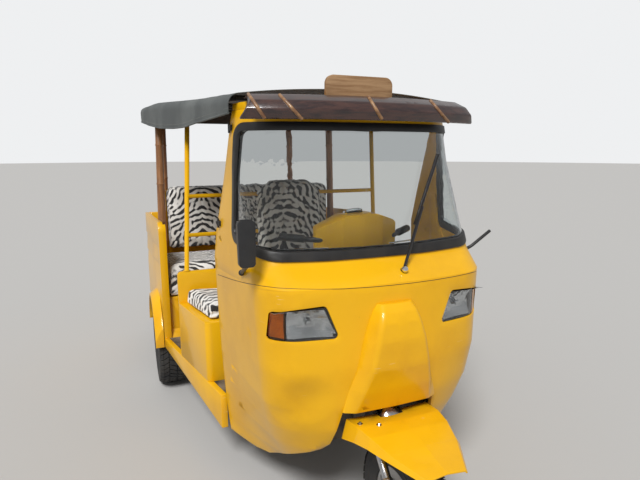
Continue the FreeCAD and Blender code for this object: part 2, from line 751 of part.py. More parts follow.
def side_panels():
    plan = wall_chain(0.0) + list(reversed(wall_chain(wall)))
    slab = plan_prism(plan, wall_low, wall_top_front + 1)
    outline = [(V(300.0, sill_rear_y, wall_low), 0.0), (V(300.0, sill_rear_y, wall_top_front), wall_corner),
               (V(300.0, tail_y, wall_top_rear), 40.0), (V(300.0, tail_y, wall_low), 30.0)]
    slab = slab.common(prism(outline, V(600.0, 0, 0)))
    jamb = plan_prism([(sill_rear_x - jamb_w, sill_rear_y), (sill_rear_x, sill_rear_y),
                       (sill_rear_x, sill_rear_y + jamb_d), (sill_rear_x - jamb_w, sill_rear_y + jamb_d)],
                      floor_top, wall_top_front + 1)
    jamb = jamb.common(prism(outline, V(600.0, 0, 0)))
    boards = [board_cut(low, high) for low, high in zip(board_edges[1:], board_edges)]
    slab = slab.cut(boards)
    shape = slab.fuse([jamb, arch_flare_ring()]).cut(wheel_cylinder(arch_r, 500.0, 900.0))
    return both(shape.removeSplitter())


def wheel_houses():
    outer = wheel_cylinder(arch_r + house_t + 2.0, house_x, wall_end_x - wall - 8.0)
    inner = wheel_cylinder(arch_r, house_x + house_t, wall_end_x)
    above = box(500.0, 900.0, sill_rear_y, 1100.0, floor_low, 700.0)
    shape = outer.cut(inner).common(above)
    shape = shape.cut(plan_prism([(sill_rear_x - jamb_w, 200.0), (900.0, 200.0), (900.0, sill_rear_y + jamb_d),
                                  (sill_rear_x - jamb_w, sill_rear_y + jamb_d)], 300.0, 700.0))
    return both(shape)


def house_block(side_clear=0.3):
    """The room that a wheel house takes, for cutting its neighbours."""
    return wheel_cylinder(arch_r + house_t + 2.0 + side_clear, house_x - side_clear, 800.0)


def bench_box():
    """Panel below the bench with a shallow dip, and the deck that carries bench and luggage."""
    y = bench_front_y
    half = sill_rear_x - jamb_w
    low_half = half - 2 * bench_dip
    under = deck_top - deck_t
    points = [(-half, floor_top), (half, floor_top), (half, under), (low_half + 40.0, under),
              (low_half, under - bench_dip), (-low_half, under - bench_dip), (-low_half - 40.0, under),
              (-half, under)]
    plate = prism([V(x, y, z) for x, z in points], V(0, sheet, 0))
    cut = house_block()
    plate = plate.cut([cut, mirrored(cut, -1)])
    deck = [(half, y), (wall_mid_x - wall - 3.0, wall_mid_y), (wall_end_x - wall - 1.0, tail_y - wall)]
    deck = plan_prism(deck + [(-x, y) for x, y in reversed(deck)], under, deck_top)
    return plate.fuse(deck).removeSplitter()


def bench_cushion():
    z0, z1 = deck_top + soft_gap, deck_top + cushion_h
    y0 = bench_front_y - 15.0
    half = sill_rear_x - jamb_w - 6.0
    points = [(V(-half, y0, z0), 30.0), (V(-half, y0, z1), 60.0), (V(-half, y0 + bench_depth, z1), 20.0),
              (V(-half, y0 + bench_depth, z0), 10.0)]
    slab = prism(points, V(2 * half, 0, 0))
    return slab


def bench_backrest():
    y0, y1 = back_y, back_y + back_t
    points = [(V(-back_x, y0, back_low), 20.0), (V(back_x, y0, back_low), 20.0),
              (V(back_x, y0, back_top), 60.0), (V(-back_x, y0, back_top), 60.0)]
    return prism(points, V(0, y1 - y0, 0))


def back_board():
    y0 = back_y + back_t + soft_gap
    points = [(V(-back_x, y0, deck_top), 0.0), (V(back_x, y0, deck_top), 0.0),
              (V(back_x, y0, back_top - 30.0), 30.0), (V(-back_x, y0, back_top - 30.0), 30.0)]
    return prism(points, V(0, back_board_t, 0))


def rear_panel():
    half = wall_end_x - wall
    points = [(V(-half, tail_y, wall_low), 0.0), (V(half, tail_y, wall_low), 0.0),
              (V(half, tail_y, wall_top_rear), 0.0), (V(-half, tail_y, wall_top_rear), 0.0)]
    return prism(points, V(0, -wall, 0))


def tail_lamps():
    lamp = Part.makeCylinder(42.0, 26.0, V(560.0, tail_y, 620.0), V(0, 1, 0))
    rim = [e for e in lamp.Edges if abs(e.CenterOfMass.y - tail_y - 26.0) < 1.0]
    return both(lamp.makeFillet(10.0, rim))


def bamboo_post(foot, head):
    """Bamboo with a raised ring at each joint of the cane."""
    length = (head - foot).Length
    profile = [V(0, 0, 0), V(bamboo_r, 0, 0)]
    s = bamboo_step * 0.55
    while s < length - 20.0:
        profile += [V(bamboo_r, 0, s - 9.0), V(bamboo_r + bamboo_ring, 0, s - 3.0),
                    V(bamboo_r + bamboo_ring, 0, s + 2.0), V(bamboo_r, 0, s + 7.0)]
        s += bamboo_step
    profile += [V(bamboo_r, 0, length), V(0, 0, length)]
    cane = Part.Face(Part.makePolygon(profile + profile[:1])).revolve(V(0, 0, 0), UP, 360)
    cane.Placement = FreeCAD.Placement(foot, FreeCAD.Rotation(UP, head - foot))
    return cane


def canopy_z(y, column):
    """A height of the canopy at a place along it, from its sections."""
    for a, b in zip(canopy_sections, canopy_sections[1:]):
        if y <= b[0]:
            return a[column] + (b[column] - a[column]) * (y - a[0]) / (b[0] - a[0])
    return canopy_sections[-1][column]


def bamboo_posts():
    below = box(-900.0, 900.0, 0.0, tail_y, deck_top - 100.0, deck_top)
    shapes = []
    for y, low_x, high_x in ((mid_post_y, 650.0, 622.0), (tail_post_y, 556.0, 540.0)):
        foot = V(low_x, y, deck_top - 2.0)
        head = V(high_x, y, frame_z(y) - frame_tube_r - 1.2)
        shapes.append(both(bamboo_post(foot, head).cut(below)))
    return Part.makeCompound(shapes)


def frame_z(y):
    """Height of the roof frame's tubes."""
    return canopy_z(y, 3) - canopy_t - frame_tube_r + 1.0


def frame_half(y):
    """Half distance between the roof frame's side tubes."""
    return canopy_z(y, 1) - canopy_shoulder_r - 12.0


def canopy_wire(section, inwards, low):
    y, half, lower, shoulder, crown = section
    h = half - inwards
    r = canopy_shoulder_r - inwards
    s, c = shoulder - inwards, crown - inwards
    side_top = V(h, y, s - r)
    knee = V(h - r * 0.29, y, s - r * 0.29)
    top_start = V(h - r, y, s)
    edges = [Part.LineSegment(V(-h, y, low), V(h, y, low)), Part.LineSegment(V(h, y, low), side_top),
             Part.Arc(side_top, knee, top_start), Part.Arc(top_start, V(0, y, c), V(-top_start.x, y, s)),
             Part.Arc(V(-top_start.x, y, s), V(-knee.x, y, knee.z), V(-h, y, side_top.z)),
             Part.LineSegment(V(-h, y, side_top.z), V(-h, y, low))]
    return Part.Wire([e.toShape() for e in edges])


def canopy():
    outer = Part.makeLoft([canopy_wire(s, 0.0, s[2]) for s in canopy_sections], True, True)
    inner_sections = [(s[0],) + s[1:] for s in canopy_sections]
    first, last = inner_sections[0], inner_sections[-1]
    inner_sections[0] = (first[0] - 1.0,) + first[1:]
    inner_sections[-1] = (last[0] - canopy_t,) + last[1:]
    inner = Part.makeLoft([canopy_wire(s, canopy_t, s[2] - 3.0) for s in inner_sections], True, True)
    return outer.cut(inner)


def roof_frame():
    """Side rails and cross tubes that carry the canopy."""
    stations = [roof_rear_y + 12.0] + [row[0] for row in canopy_sections[1:-1]] + [tail_y - 30.0]
    runs = []
    for side in (1, -1):
        runs.append(tube_run([V(side * frame_half(y), y, frame_z(y)) for y in stations], frame_tube_r))
    for y in (roof_rear_y + 12.0, box_rear_y + partition_t / 2, mid_post_y, tail_post_y):
        runs.append(rod(V(-frame_half(y), y, frame_z(y)), V(frame_half(y), y, frame_z(y)), frame_tube_r))
    return runs[0].fuse(runs[1:]).removeSplitter()


# steering

def fork():
    """Stem, crown, two legs that bend down to the axle, and the axle with its nuts."""
    stem = rod(on_axis(-10.0), on_axis(stem_top), stem_r)
    arm = side_prism([(steer_y + 8.0, steer_z + 18.0), (steer_y + 30.0, steer_z - 24.0),
                      (crown_y + 20.0, crown_z - 24.0), (crown_y - 22.0, crown_z - 14.0),
                      (crown_y - 16.0, crown_z + 18.0)], -48.0, 48.0)
    bar = rod(V(-fork_x - 19.0, crown_y, crown_z), V(fork_x + 19.0, crown_y, crown_z), 18.5)
    shapes = [arm, bar]
    for side in (1, -1):
        x = side * fork_x
        knee = V(x, knee_y, knee_z)
        shapes.append(rod(V(x, crown_y, crown_z), knee, fork_leg_r))
        shapes.append(Part.makeSphere(fork_slider_r + 1.5, knee))
        shapes.append(rod(knee, V(x, front_axle_y, front_r), fork_slider_r))
        shapes.append(rod(V(x - fork_slider_r - 1.0, front_axle_y, front_r),
                          V(x + fork_slider_r + 1.0, front_axle_y, front_r), 27.0))
    x = fork_x + fork_slider_r + 1.0
    centre = V(0, front_axle_y, front_r)
    shapes.append(rod(centre - V(x + 12.0, 0, 0), centre + V(x + 12.0, 0, 0), 16.0).cut(
        rod(centre - V(x, 0, 0), centre + V(x, 0, 0), 16.5)))
    shapes.append(rod(centre - V(x + 8.0, 0, 0), centre + V(x + 8.0, 0, 0), front_spindle_r))
    return stem.fuse(shapes).removeSplitter()


def front_guard():
    """Beaked mudguard with a ridge, from behind the crown forward over the tyre."""
    t = 5.0
    wires = []
    inner = []
    for i, (y, half, ridge, shoulder, edge) in enumerate(guard_rows):
        top = 0.9 * half
        pts = [V(-half, y, edge), V(-top, y, shoulder), V(0, y, ridge), V(top, y, shoulder), V(half, y, edge)]
        wires.append(Part.makePolygon(pts + pts[:1]))
        y += 2.0 if i == 0 else (-2.0 if i == len(guard_rows) - 1 else 0.0)
        pts = [V(-half + t, y, edge - 3.0), V(-top + t, y, shoulder - t), V(0, y, ridge - t),
               V(top - t, y, shoulder - t), V(half - t, y, edge - 3.0)]
        inner.append(Part.makePolygon(pts + pts[:1]))
    shell = Part.makeLoft(wires, True, True).cut(Part.makeLoft(inner, True, True))
    return shell.cut(fork())


def bar_centre():
    return on_axis(stem_top - 14.0)


def bar_run():
    c = bar_centre()
    return tube_run([c + V(-300.0, 120.0, 6.0), c + V(-170.0, 20.0, 0), c + V(170.0, 20.0, 0),
                     c + V(300.0, 120.0, 6.0)], 11.0)


def handlebar():
    c = bar_centre()
    grips = []
    for side in (1, -1):
        a, b = c + V(side * 300.0, 120.0, 6.0), c + V(side * 214.0, 53.8, 2.0)
        d = (b - a).normalize()
        grips.append(rod(a - d * 4.0, a + d * 100.0, 16.0))
    bar = bar_run().fuse(grips)
    block = box(-20.0, 20.0, c.y - 4.0, c.y + 26.0, c.z - 14.0, c.z + 12.0)
    return bar.fuse(block).removeSplitter().cut(rod(on_axis(0.0), on_axis(stem_top), stem_r))


def handlebar_cowl():
    """Headset cover swept back at its ends, higher on the driver's left."""
    c = bar_centre()
    plan = [(-cowl_half, 30.0), (-90.0, -34.0), (0.0, -48.0), (90.0, -34.0), (cowl_half, 30.0),
            (cowl_half - 20.0, 86.0), (60.0, 66.0), (-60.0, 66.0), (-cowl_half + 20.0, 86.0)]
    body = prism([(V(c.x + x, c.y + y, c.z - 60.0), 16.0) for x, y in plan], V(0, 0, 180.0))
    front = [(-cowl_half - 5.0, -46.0, 20.0), (cowl_half + 5.0, -46.0, 40.0), (cowl_half + 5.0, 58.0, 60.0),
             (60.0, 104.0, 60.0), (-70.0, 100.0, 30.0), (-cowl_half - 5.0, 36.0, 30.0)]
    front = [(V(x, c.y - 60.0, c.z + z), r) for x, z, r in front]
    shell = body.common(prism(front, V(0, 200.0, 0)))
    return shell.cut([handlebar(), rod(on_axis(0.0), on_axis(stem_top), stem_r)])


# wheels

def tyre(centre_x, y, name):
    r, width, bead, rim_w = wheel_sizes[name]
    half = width / 2
    w = rim_w / 2 - rim_flange - soft_gap
    tall = r - bead
    points = [(w, bead + soft_gap, 1.0), (w, bead + 10.0, 3.0), (half - 4.0, bead + tall * 0.3, 10.0),
              (half, bead + tall * 0.55, 22.0), (half - 5.0, r - 14.0, 12.0), (half - 22.0, r, 14.0)]
    outline = [(V(x, 0, z), fillet) for x, z, fillet in points]
    outline += [(V(-p.x, 0, p.z), fillet) for p, fillet in reversed(outline)]
    ring = Part.Face(rounded_wire(outline)).revolve(V(0, 0, 0), V(1, 0, 0), 360)
    ring.translate(V(centre_x, y, r))
    return ring


def wheel_rim(centre_x, y, name, o, bore):
    """Steel wheel: well, flanges, dished disc and hub. o is the side that it faces."""
    r, width, bead, rim_w = wheel_sizes[name]
    w = rim_w / 2
    profile = [(-w, bead), (-w, bead + 8.0), (-w + rim_flange, bead + 8.0), (-w + rim_flange, bead),
               (w - rim_flange, bead), (w - rim_flange, bead + 8.0), (w, bead + 8.0), (w, bead),
               (w, bead - 8.0), (w - 16.0, bead - 8.0), (24.0, bead - 26.0), (30.0, bead - 44.0),
               (44.0, 96.0), (30.0, 74.0), (34.0, hub_r), (52.0, hub_r - 8.0), (54.0, bore), (-40.0, bore),
               (-40.0, hub_r), (10.0, hub_r), (18.0, 74.0), (34.0, 98.0), (20.0, bead - 40.0),
               (8.0, bead - 24.0), (-w + 16.0, bead - 8.0), (-w, bead - 8.0)]
    points = [V(o * x, 0, z) for x, z in profile]
    body = Part.Face(Part.makePolygon(points + points[:1])).revolve(V(0, 0, 0), V(1, 0, 0), 360)
    body.translate(V(centre_x, y, r))
    return body


# small fittings

def mirrors():
    """A full mirror on one side, and on the other the bare stalk that a lost mirror left."""
    foot, knee, elbow = V(-440.0, -905.0, 1088.0), V(-497.0, -952.0, 1092.0), V(-512.0, -1132.0, 1168.0)
    stalk = tube_run([foot, knee, elbow], 8.0)
    head = prism([(V(-28.0, -8.0, 0.0), 14.0), (V(28.0, -8.0, 0.0), 14.0), (V(31.0, -8.0, 162.0), 18.0),
                  (V(-31.0, -8.0, 162.0), 18.0)], V(0, 26.0, 0))
    head.translate(V(-520.0, -1140.0, 1157.0))
    full = stalk.fuse([head, Part.makeSphere(12.0, knee)]).removeSplitter()
    turned = V(-knee.x, knee.y, knee.z)
    reach, end = V(540.0, -985.0, 1124.0), V(640.0, -985.0, 1188.0)
    bare = tube_run([V(-foot.x, foot.y, foot.z), turned, reach, end], 7.0)
    bare = bare.fuse(Part.makeSphere(12.0, turned)).removeSplitter()
    cab = cab_solid()
    return Part.makeCompound([max(m.cut(cab).Solids, key=lambda p: p.Volume) for m in (full, bare)])


def wiper():
    pivot, knee, tip = V(66.0, -1190.0, 1104.0), V(194.0, -1106.0, 1330.0), V(294.0, -1052.0, 1530.0)
    boss = rod(V(66.0, -1150.0, 1082.0), pivot + V(0, -6.0, 4.0), 11.0)
    arm = rod(pivot, knee, 6.0)
    blade = rod(V(159.0, -1112.0, 1262.0), tip, 7.0)
    shape = boss.fuse([arm, blade]).removeSplitter()
    shape = shape.cut([cab_solid(), windscreen_seal(), windscreen_glass()])
    return max(shape.Solids, key=lambda p: p.Volume)


single_nodes = {
    "chassis_frame": chassis_frame,
    "floor_pan": floor_pan,
    "engine_block": engine_block,
    "rear_axle": rear_axle,
    "leaf_springs": leaf_springs,
    "front_panel": front_panel,
    "nose_fairing": nose_fairing,
    "bulkhead": bulkhead,
    "headlamps": headlamps,
    "indicators": indicators,
    "windscreen_frame": windscreen_frame,
    "windscreen_seal": windscreen_seal,
    "windscreen_glass": windscreen_glass,
    "front_roof": front_roof,
    "sun_visor": sun_visor,
    "roof_sign": roof_sign,
    "sills": sills,
    "driver_box": driver_box,
    "driver_cushion": driver_cushion,
    "driver_backrest": driver_backrest,
    "partition": partition,
    "guard_rails": guard_rails,
    "side_panels": side_panels,
    "wheel_houses": wheel_houses,
    "bench_box": bench_box,
    "bench_cushion": bench_cushion,
    "bench_backrest": bench_backrest,
    "back_board": back_board,
    "rear_panel": rear_panel,
    "tail_lamps": tail_lamps,
    "bamboo_posts": bamboo_posts,
    "roof_frame": roof_frame,
    "canopy": canopy,
    "mirrors": mirrors,
    "wiper": wiper,
    "fork": fork,
    "front_guard": front_guard,
    "handlebar": handlebar,
    "handlebar_cowl": handlebar_cowl,
}


def nodes():
    for name, make in single_nodes.items():
        yield name, make()
    for name, side in SIDES:
        yield "rear_tyre_" + name, tyre(side * rear_wheel_x, rear_axle_y, "rear")
        yield "rear_rim_" + name, wheel_rim(side * rear_wheel_x, rear_axle_y, "rear", side, axle_r + bore_gap)
    yield "front_tyre", tyre(0.0, front_axle_y, "front")
    yield "front_rim", wheel_rim(0.0, front_axle_y, "front", -1, front_spindle_r + bore_gap)


os.makedirs("parts", exist_ok=True)
for node, shape in nodes():
    if not shape.isValid():
        print("not valid:", node)
    print(node, len(shape.Solids), round(shape.Volume / 1e6, 2), [round(v) for v in (
        shape.BoundBox.XMin, shape.BoundBox.XMax, shape.BoundBox.YMin, shape.BoundBox.YMax,
        shape.BoundBox.ZMin, shape.BoundBox.ZMax)])
    shape.exportStep(os.path.join("parts", node + ".step"))
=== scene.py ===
# %% [markdown]
# An open three-wheeled rickshaw: pressed yellow panels, zebra plush seats, a vinyl canopy and cane
# posts. The construction is already there as a frame of named solids, each at its real place. This
# lesson dresses it. A finished piece either takes over a solid's own mesh, welded and with its edges
# softened, or is modelled anew where the real thing is soft, clear or finely detailed.

import json
import math

import bmesh
import bpy
import numpy as np
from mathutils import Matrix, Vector, noise
from mathutils.bvhtree import BVHTree


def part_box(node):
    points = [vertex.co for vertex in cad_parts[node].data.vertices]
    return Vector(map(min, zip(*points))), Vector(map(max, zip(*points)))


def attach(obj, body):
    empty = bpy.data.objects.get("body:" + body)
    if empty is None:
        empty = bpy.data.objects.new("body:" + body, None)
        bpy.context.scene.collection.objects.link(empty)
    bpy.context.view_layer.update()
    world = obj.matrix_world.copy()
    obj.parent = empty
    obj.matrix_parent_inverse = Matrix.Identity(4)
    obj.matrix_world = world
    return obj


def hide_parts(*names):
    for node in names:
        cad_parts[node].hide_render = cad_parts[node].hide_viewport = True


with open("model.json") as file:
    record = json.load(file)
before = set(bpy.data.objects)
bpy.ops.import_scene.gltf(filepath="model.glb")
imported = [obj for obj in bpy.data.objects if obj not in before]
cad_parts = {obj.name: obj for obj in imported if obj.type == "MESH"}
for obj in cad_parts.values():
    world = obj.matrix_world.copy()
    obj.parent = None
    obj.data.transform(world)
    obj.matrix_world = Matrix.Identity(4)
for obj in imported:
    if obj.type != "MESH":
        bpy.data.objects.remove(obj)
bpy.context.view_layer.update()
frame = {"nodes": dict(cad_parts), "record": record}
BODY = "body"
STEERING = "steering"

# %% [markdown]
# The picture is taken at eye height from a step in front of the right headlamp, with a wide lens.
# A camera in Blender looks along its own -Z, so a level view turns it 90 degrees about X first, and
# the pitch is added to that. The heading is a turn about Z.

# %% Camera
EYE = (-0.908, -2.753, 1.554)
PITCH_DEG = -10.44
HEADING_DEG = -22.09
LENS_MM = 27.92
SENSOR_MM = 36.0

eye_data = bpy.data.cameras.new("eye")
eye_data.lens = LENS_MM
eye_data.sensor_width = SENSOR_MM
eye = bpy.data.objects.new("eye", eye_data)
eye.location = EYE
eye.rotation_euler = (math.radians(90.0 + PITCH_DEG), 0.0, math.radians(HEADING_DEG))
bpy.context.scene.collection.objects.link(eye)
bpy.context.scene.camera = eye
bpy.context.scene.view_settings.view_transform = "Standard"
print("camera at", EYE)

# %% [markdown]
# A grey floor and an even sky keep the colours as they are written. The floor is a wide disc, dark
# enough not to bleach the panels from below. One broad lamp from the driver's right gives
# the panels a lit side and a soft shadow, as the sun does on such a vehicle.

# %% Stage and light
FLOOR_TONE = (0.46, 0.45, 0.435, 1.0)
SKY_TONE = (0.86, 0.87, 0.88, 1.0)
SKY_FILL = 0.5
LAMP_POWER = 3.1
LAMP_SPREAD_DEG = 18.0
LAMP_TURN_DEG = (38.0, 12.0, -52.0)
FLOOR_RADIUS = 60.0
FLOOR_SIDES = 64


def plain_mesh(name, verts, faces, smooth=True):
    """New object from lists of points and faces, at the origin."""
    data = bpy.data.meshes.new(name)
    data.from_pydata([tuple(v) for v in verts], [], faces)
    data.validate()
    if smooth:
        data.shade_smooth()
    obj = bpy.data.objects.new(name, data)
    bpy.context.scene.collection.objects.link(obj)
    return obj


turns = np.linspace(0.0, 2 * math.pi, FLOOR_SIDES, False)
ring = [(FLOOR_RADIUS * math.cos(a), FLOOR_RADIUS * math.sin(a), 0.0) for a in turns]
floor = plain_mesh("stage_floor", ring, [list(range(FLOOR_SIDES))])
floor_finish = bpy.data.materials.new("stage_floor")
floor_finish.use_nodes = True
floor_finish.node_tree.nodes["Principled BSDF"].inputs["Base Color"].default_value = FLOOR_TONE
floor_finish.node_tree.nodes["Principled BSDF"].inputs["Roughness"].default_value = 0.9
floor.data.materials.append(floor_finish)

sky = bpy.data.worlds.new("studio")
bpy.context.scene.world = sky
sky.use_nodes = True
sky_nodes = sky.node_tree.nodes
sky_fill = sky_nodes["Background"]
sky_fill.inputs["Color"].default_value = SKY_TONE
sky_fill.inputs["Strength"].default_value = SKY_FILL
sky_seen = sky_nodes.new("ShaderNodeBackground")
sky_seen.inputs["Color"].default_value = SKY_TONE
sky_seen.inputs["Strength"].default_value = 1.0
sky_rays = sky_nodes.new("ShaderNodeLightPath")
sky_mix = sky_nodes.new("ShaderNodeMixShader")
sky.node_tree.links.new(sky_rays.outputs["Is Camera Ray"], sky_mix.inputs[0])
sky.node_tree.links.new(sky_fill.outputs[0], sky_mix.inputs[1])
sky.node_tree.links.new(sky_seen.outputs[0], sky_mix.inputs[2])
sky.node_tree.links.new(sky_mix.outputs[0], sky_nodes["World Output"].inputs["Surface"])

key_data = bpy.data.lights.new("key", "SUN")
key_data.energy = LAMP_POWER
key_data.angle = math.radians(LAMP_SPREAD_DEG)
key = bpy.data.objects.new("key", key_data)
key.rotation_euler = [math.radians(d) for d in LAMP_TURN_DEG]
bpy.context.scene.collection.objects.link(key)
print("floor, sky and one lamp")

# %% [markdown]
# Finishes share a few effects: road dust that thickens towards the ground, small scratches, the
# grain of coated cloth and plastic, and the streaks of wood. All but the streaks are node groups with
# their own sizes, so one group serves many materials. All of them read Object coordinates, which are
# metres in the vehicle's own frame because every piece sits at the origin.

# %% Helpers for node trees
def join(tree, source, target):
    tree.links.new(source, target)


def maths(tree, operation, a, b=None, clamp=False):
    """A maths node. Each side is a number or a socket."""
    node = tree.nodes.new("ShaderNodeMath")
    node.operation = operation
    node.use_clamp = clamp
    for socket, value in zip(node.inputs, (a, b)):
        if isinstance(value, (int, float)):
            socket.default_value = value
        elif value is not None:
            tree.links.new(value, socket)
    return node.outputs[0]


def blend_colour(tree, factor, a, b, mode="MIX"):
    """Mixes two colours, each a tuple or a socket."""
    node = tree.nodes.new("ShaderNodeMix")
    node.data_type = "RGBA"
    node.blend_type = mode
    for socket, value in ((node.inputs[0], factor), (node.inputs[6], a), (node.inputs[7], b)):
        if isinstance(value, (int, float)):
            socket.default_value = value
        elif isinstance(value, tuple):
            socket.default_value = value
        else:
            tree.links.new(value, socket)
    return node.outputs[2]


def steps(tree, value, low, high):
    """0 below low, 1 above high, smooth between."""
    node = tree.nodes.new("ShaderNodeMapRange")
    node.interpolation_type = "SMOOTHSTEP"
    tree.links.new(value, node.inputs["Value"])
    node.inputs["From Min"].default_value = low
    node.inputs["From Max"].default_value = high
    return node.outputs["Result"]


def new_group(name, inputs, outputs):
    """Node group with float inputs {name: default} and outputs {name: socket type}."""
    tree = bpy.data.node_groups.new(name, "ShaderNodeTree")
    for socket_name, default in inputs.items():
        socket = tree.interface.new_socket(socket_name, in_out="INPUT", socket_type="NodeSocketFloat")
        socket.default_value = default
    for socket_name, kind in outputs.items():
        tree.interface.new_socket(socket_name, in_out="OUTPUT", socket_type=kind)
    return tree, tree.nodes.new("NodeGroupInput"), tree.nodes.new("NodeGroupOutput")


def use_group(tree, group, **values):
    node = tree.nodes.new("ShaderNodeGroup")
    node.node_tree = group
    for key_name, value in values.items():
        node.inputs[key_name.replace("_", " ")].default_value = value
    return node


# %% [markdown]
# Dust and scratches. Dust is a height ramp broken up by noise: wheels throw it, so it is thick near
# the ground and thin at the roof. Scratches are a noise that is stretched along one direction and
# cut off near its top, which leaves short thin marks.

# %% Groups for dust, scratches and mottling
def noise_at(tree, coordinates, scale, detail=3.0, rough=0.55):
    node = tree.nodes.new("ShaderNodeTexNoise")
    tree.links.new(coordinates, node.inputs["Vector"])
    node.inputs["Scale"].default_value = scale
    node.inputs["Detail"].default_value = detail
    node.inputs["Roughness"].default_value = rough
    return node.outputs[0]


def stretched(tree, coordinates, scale):
    node = tree.nodes.new("ShaderNodeMapping")
    tree.links.new(coordinates, node.inputs["Vector"])
    node.inputs["Scale"].default_value = scale
    return node.outputs[0]


def make_dust_group():
    tree, inside, outside = new_group("road_dust", {"Low": 0.15, "High": 0.75, "Amount": 0.5},
                                      {"Mask": "NodeSocketFloat"})
    place = tree.nodes.new("ShaderNodeTexCoord").outputs["Object"]
    split = tree.nodes.new("ShaderNodeSeparateXYZ")
    join(tree, place, split.inputs[0])
    rise = maths(tree, "SUBTRACT", split.outputs["Z"], inside.outputs["Low"])
    span = maths(tree, "SUBTRACT", inside.outputs["High"], inside.outputs["Low"])
    height = maths(tree, "SUBTRACT", 1.0, maths(tree, "DIVIDE", rise, span), clamp=True)
    cloud = noise_at(tree, place, 9.0, 5.0, 0.6)
    patch = maths(tree, "MULTIPLY", steps(tree, cloud, 0.3, 0.75), maths(tree, "ADD", height, 0.12))
    join(tree, maths(tree, "MULTIPLY", patch, inside.outputs["Amount"], clamp=True), outside.inputs["Mask"])
    return tree


def make_scratch_group():
    tree, inside, outside = new_group("scratches", {"Amount": 1.0}, {"Mask": "NodeSocketFloat"})
    place = tree.nodes.new("ShaderNodeTexCoord").outputs["Object"]
    fine = noise_at(tree, stretched(tree, place, (14.0, 14.0, 160.0)), 1.0, 2.0)
    rare = noise_at(tree, place, 2.3, 1.0)
    mask = maths(tree, "MULTIPLY", steps(tree, fine, 0.7, 0.74), steps(tree, rare, 0.5, 0.62))
    join(tree, maths(tree, "MULTIPLY", mask, inside.outputs["Amount"]), outside.inputs["Mask"])
    return tree


def make_mottle_group():
    """Uneven colour of an aged surface: broad clouds with finer ones in them."""
    tree, inside, outside = new_group("mottle", {"Scale": 3.0}, {"Value": "NodeSocketFloat"})
    place = tree.nodes.new("ShaderNodeTexCoord").outputs["Object"]
    grown = tree.nodes.new("ShaderNodeVectorMath")
    grown.operation = "SCALE"
    join(tree, place, grown.inputs[0])
    join(tree, inside.outputs["Scale"], grown.inputs["Scale"])
    broad = noise_at(tree, grown.outputs[0], 1.0, 6.0, 0.6)
    join(tree, broad, outside.inputs["Value"])
    return tree


def make_grain_group():
    """Fine pebbled surface of vinyl, rubber and moulded plastic, as a height."""
    tree, inside, outside = new_group("fine_grain", {"Scale": 900.0}, {"Height": "NodeSocketFloat"})
    place = tree.nodes.new("ShaderNodeTexCoord").outputs["Object"]
    cells = tree.nodes.new("ShaderNodeTexVoronoi")
    join(tree, place, cells.inputs["Vector"])
    join(tree, inside.outputs["Scale"], cells.inputs["Scale"])
    join(tree, cells.outputs["Distance"], outside.inputs["Height"])
    return tree


dust_group = make_dust_group()
scratch_group = make_scratch_group()
mottle_group = make_mottle_group()
grain_group = make_grain_group()
print("groups:", ", ".join(g.name for g in bpy.data.node_groups))

# %% [markdown]
# A material starts as one Principled shader. These three helpers give it its plain values, hang a
# bump on it and lay dust over it, so each finish below says only what is special about it.

# %% Start of a material
def start_material(name, colour, rough, metallic=0.0, coat=0.0, coat_rough=0.03, sheen=0.0):
    made = bpy.data.materials.new(name)
    made.use_nodes = True
    tree = made.node_tree
    shader = tree.nodes["Principled BSDF"]
    shader.inputs["Base Color"].default_value = (*colour, 1.0)
    shader.inputs["Roughness"].default_value = rough
    shader.inputs["Metallic"].default_value = metallic
    shader.inputs["Coat Weight"].default_value = coat
    shader.inputs["Coat Roughness"].default_value = coat_rough
    shader.inputs["Sheen Weight"].default_value = sheen
    return made, tree, shader


def bump(tree, shader, height, strength, distance):
    node = tree.nodes.new("ShaderNodeBump")
    node.inputs["Strength"].default_value = strength
    node.inputs["Distance"].default_value = distance
    join(tree, height, node.inputs["Height"])
    join(tree, node.outputs[0], shader.inputs["Normal"])


def dusty(tree, shader, colour, dust_colour, rough, amount, low, high):
    """Dust over a colour, and duller where it lies."""
    dust = use_group(tree, dust_group, Low=low, High=high, Amount=amount).outputs["Mask"]
    join(tree, blend_colour(tree, dust, colour, dust_colour), shader.inputs["Base Color"])
    join(tree, maths(tree, "ADD", maths(tree, "MULTIPLY", dust, 0.5), rough, clamp=True),
         shader.inputs["Roughness"])
    return dust


# %% [markdown]
# Body paint. It is a deep warm yellow with a clear gloss. Old pressed sheet is never quite flat, so
# a very broad, shallow bump lets the reflections wander, and the colour is a little darker and
# browner in cloudy patches. Fine scratches show the pale undercoat.

# %% Paint
YELLOW = (0.80, 0.425, 0.004)
YELLOW_AGED = (0.70, 0.355, 0.004)
DUST = (0.30, 0.235, 0.16, 1.0)
# shallow dents of the right front panel: centre in metres, radius, depth
DENTS = [((-0.315, -1.165, 0.66), 0.12, 0.018), ((-0.40, -1.13, 0.60), 0.07, 0.006)]


def dent_height(tree, place, centre, radius, depth):
    """Height of a round dent: down by its depth in the middle, level at its rim."""
    away = tree.nodes.new("ShaderNodeVectorMath")
    away.operation = "DISTANCE"
    away.inputs[1].default_value = centre
    join(tree, place, away.inputs[0])
    inside = steps(tree, away.outputs["Value"], radius, radius * 0.1)
    return maths(tree, "MULTIPLY", inside, -depth)


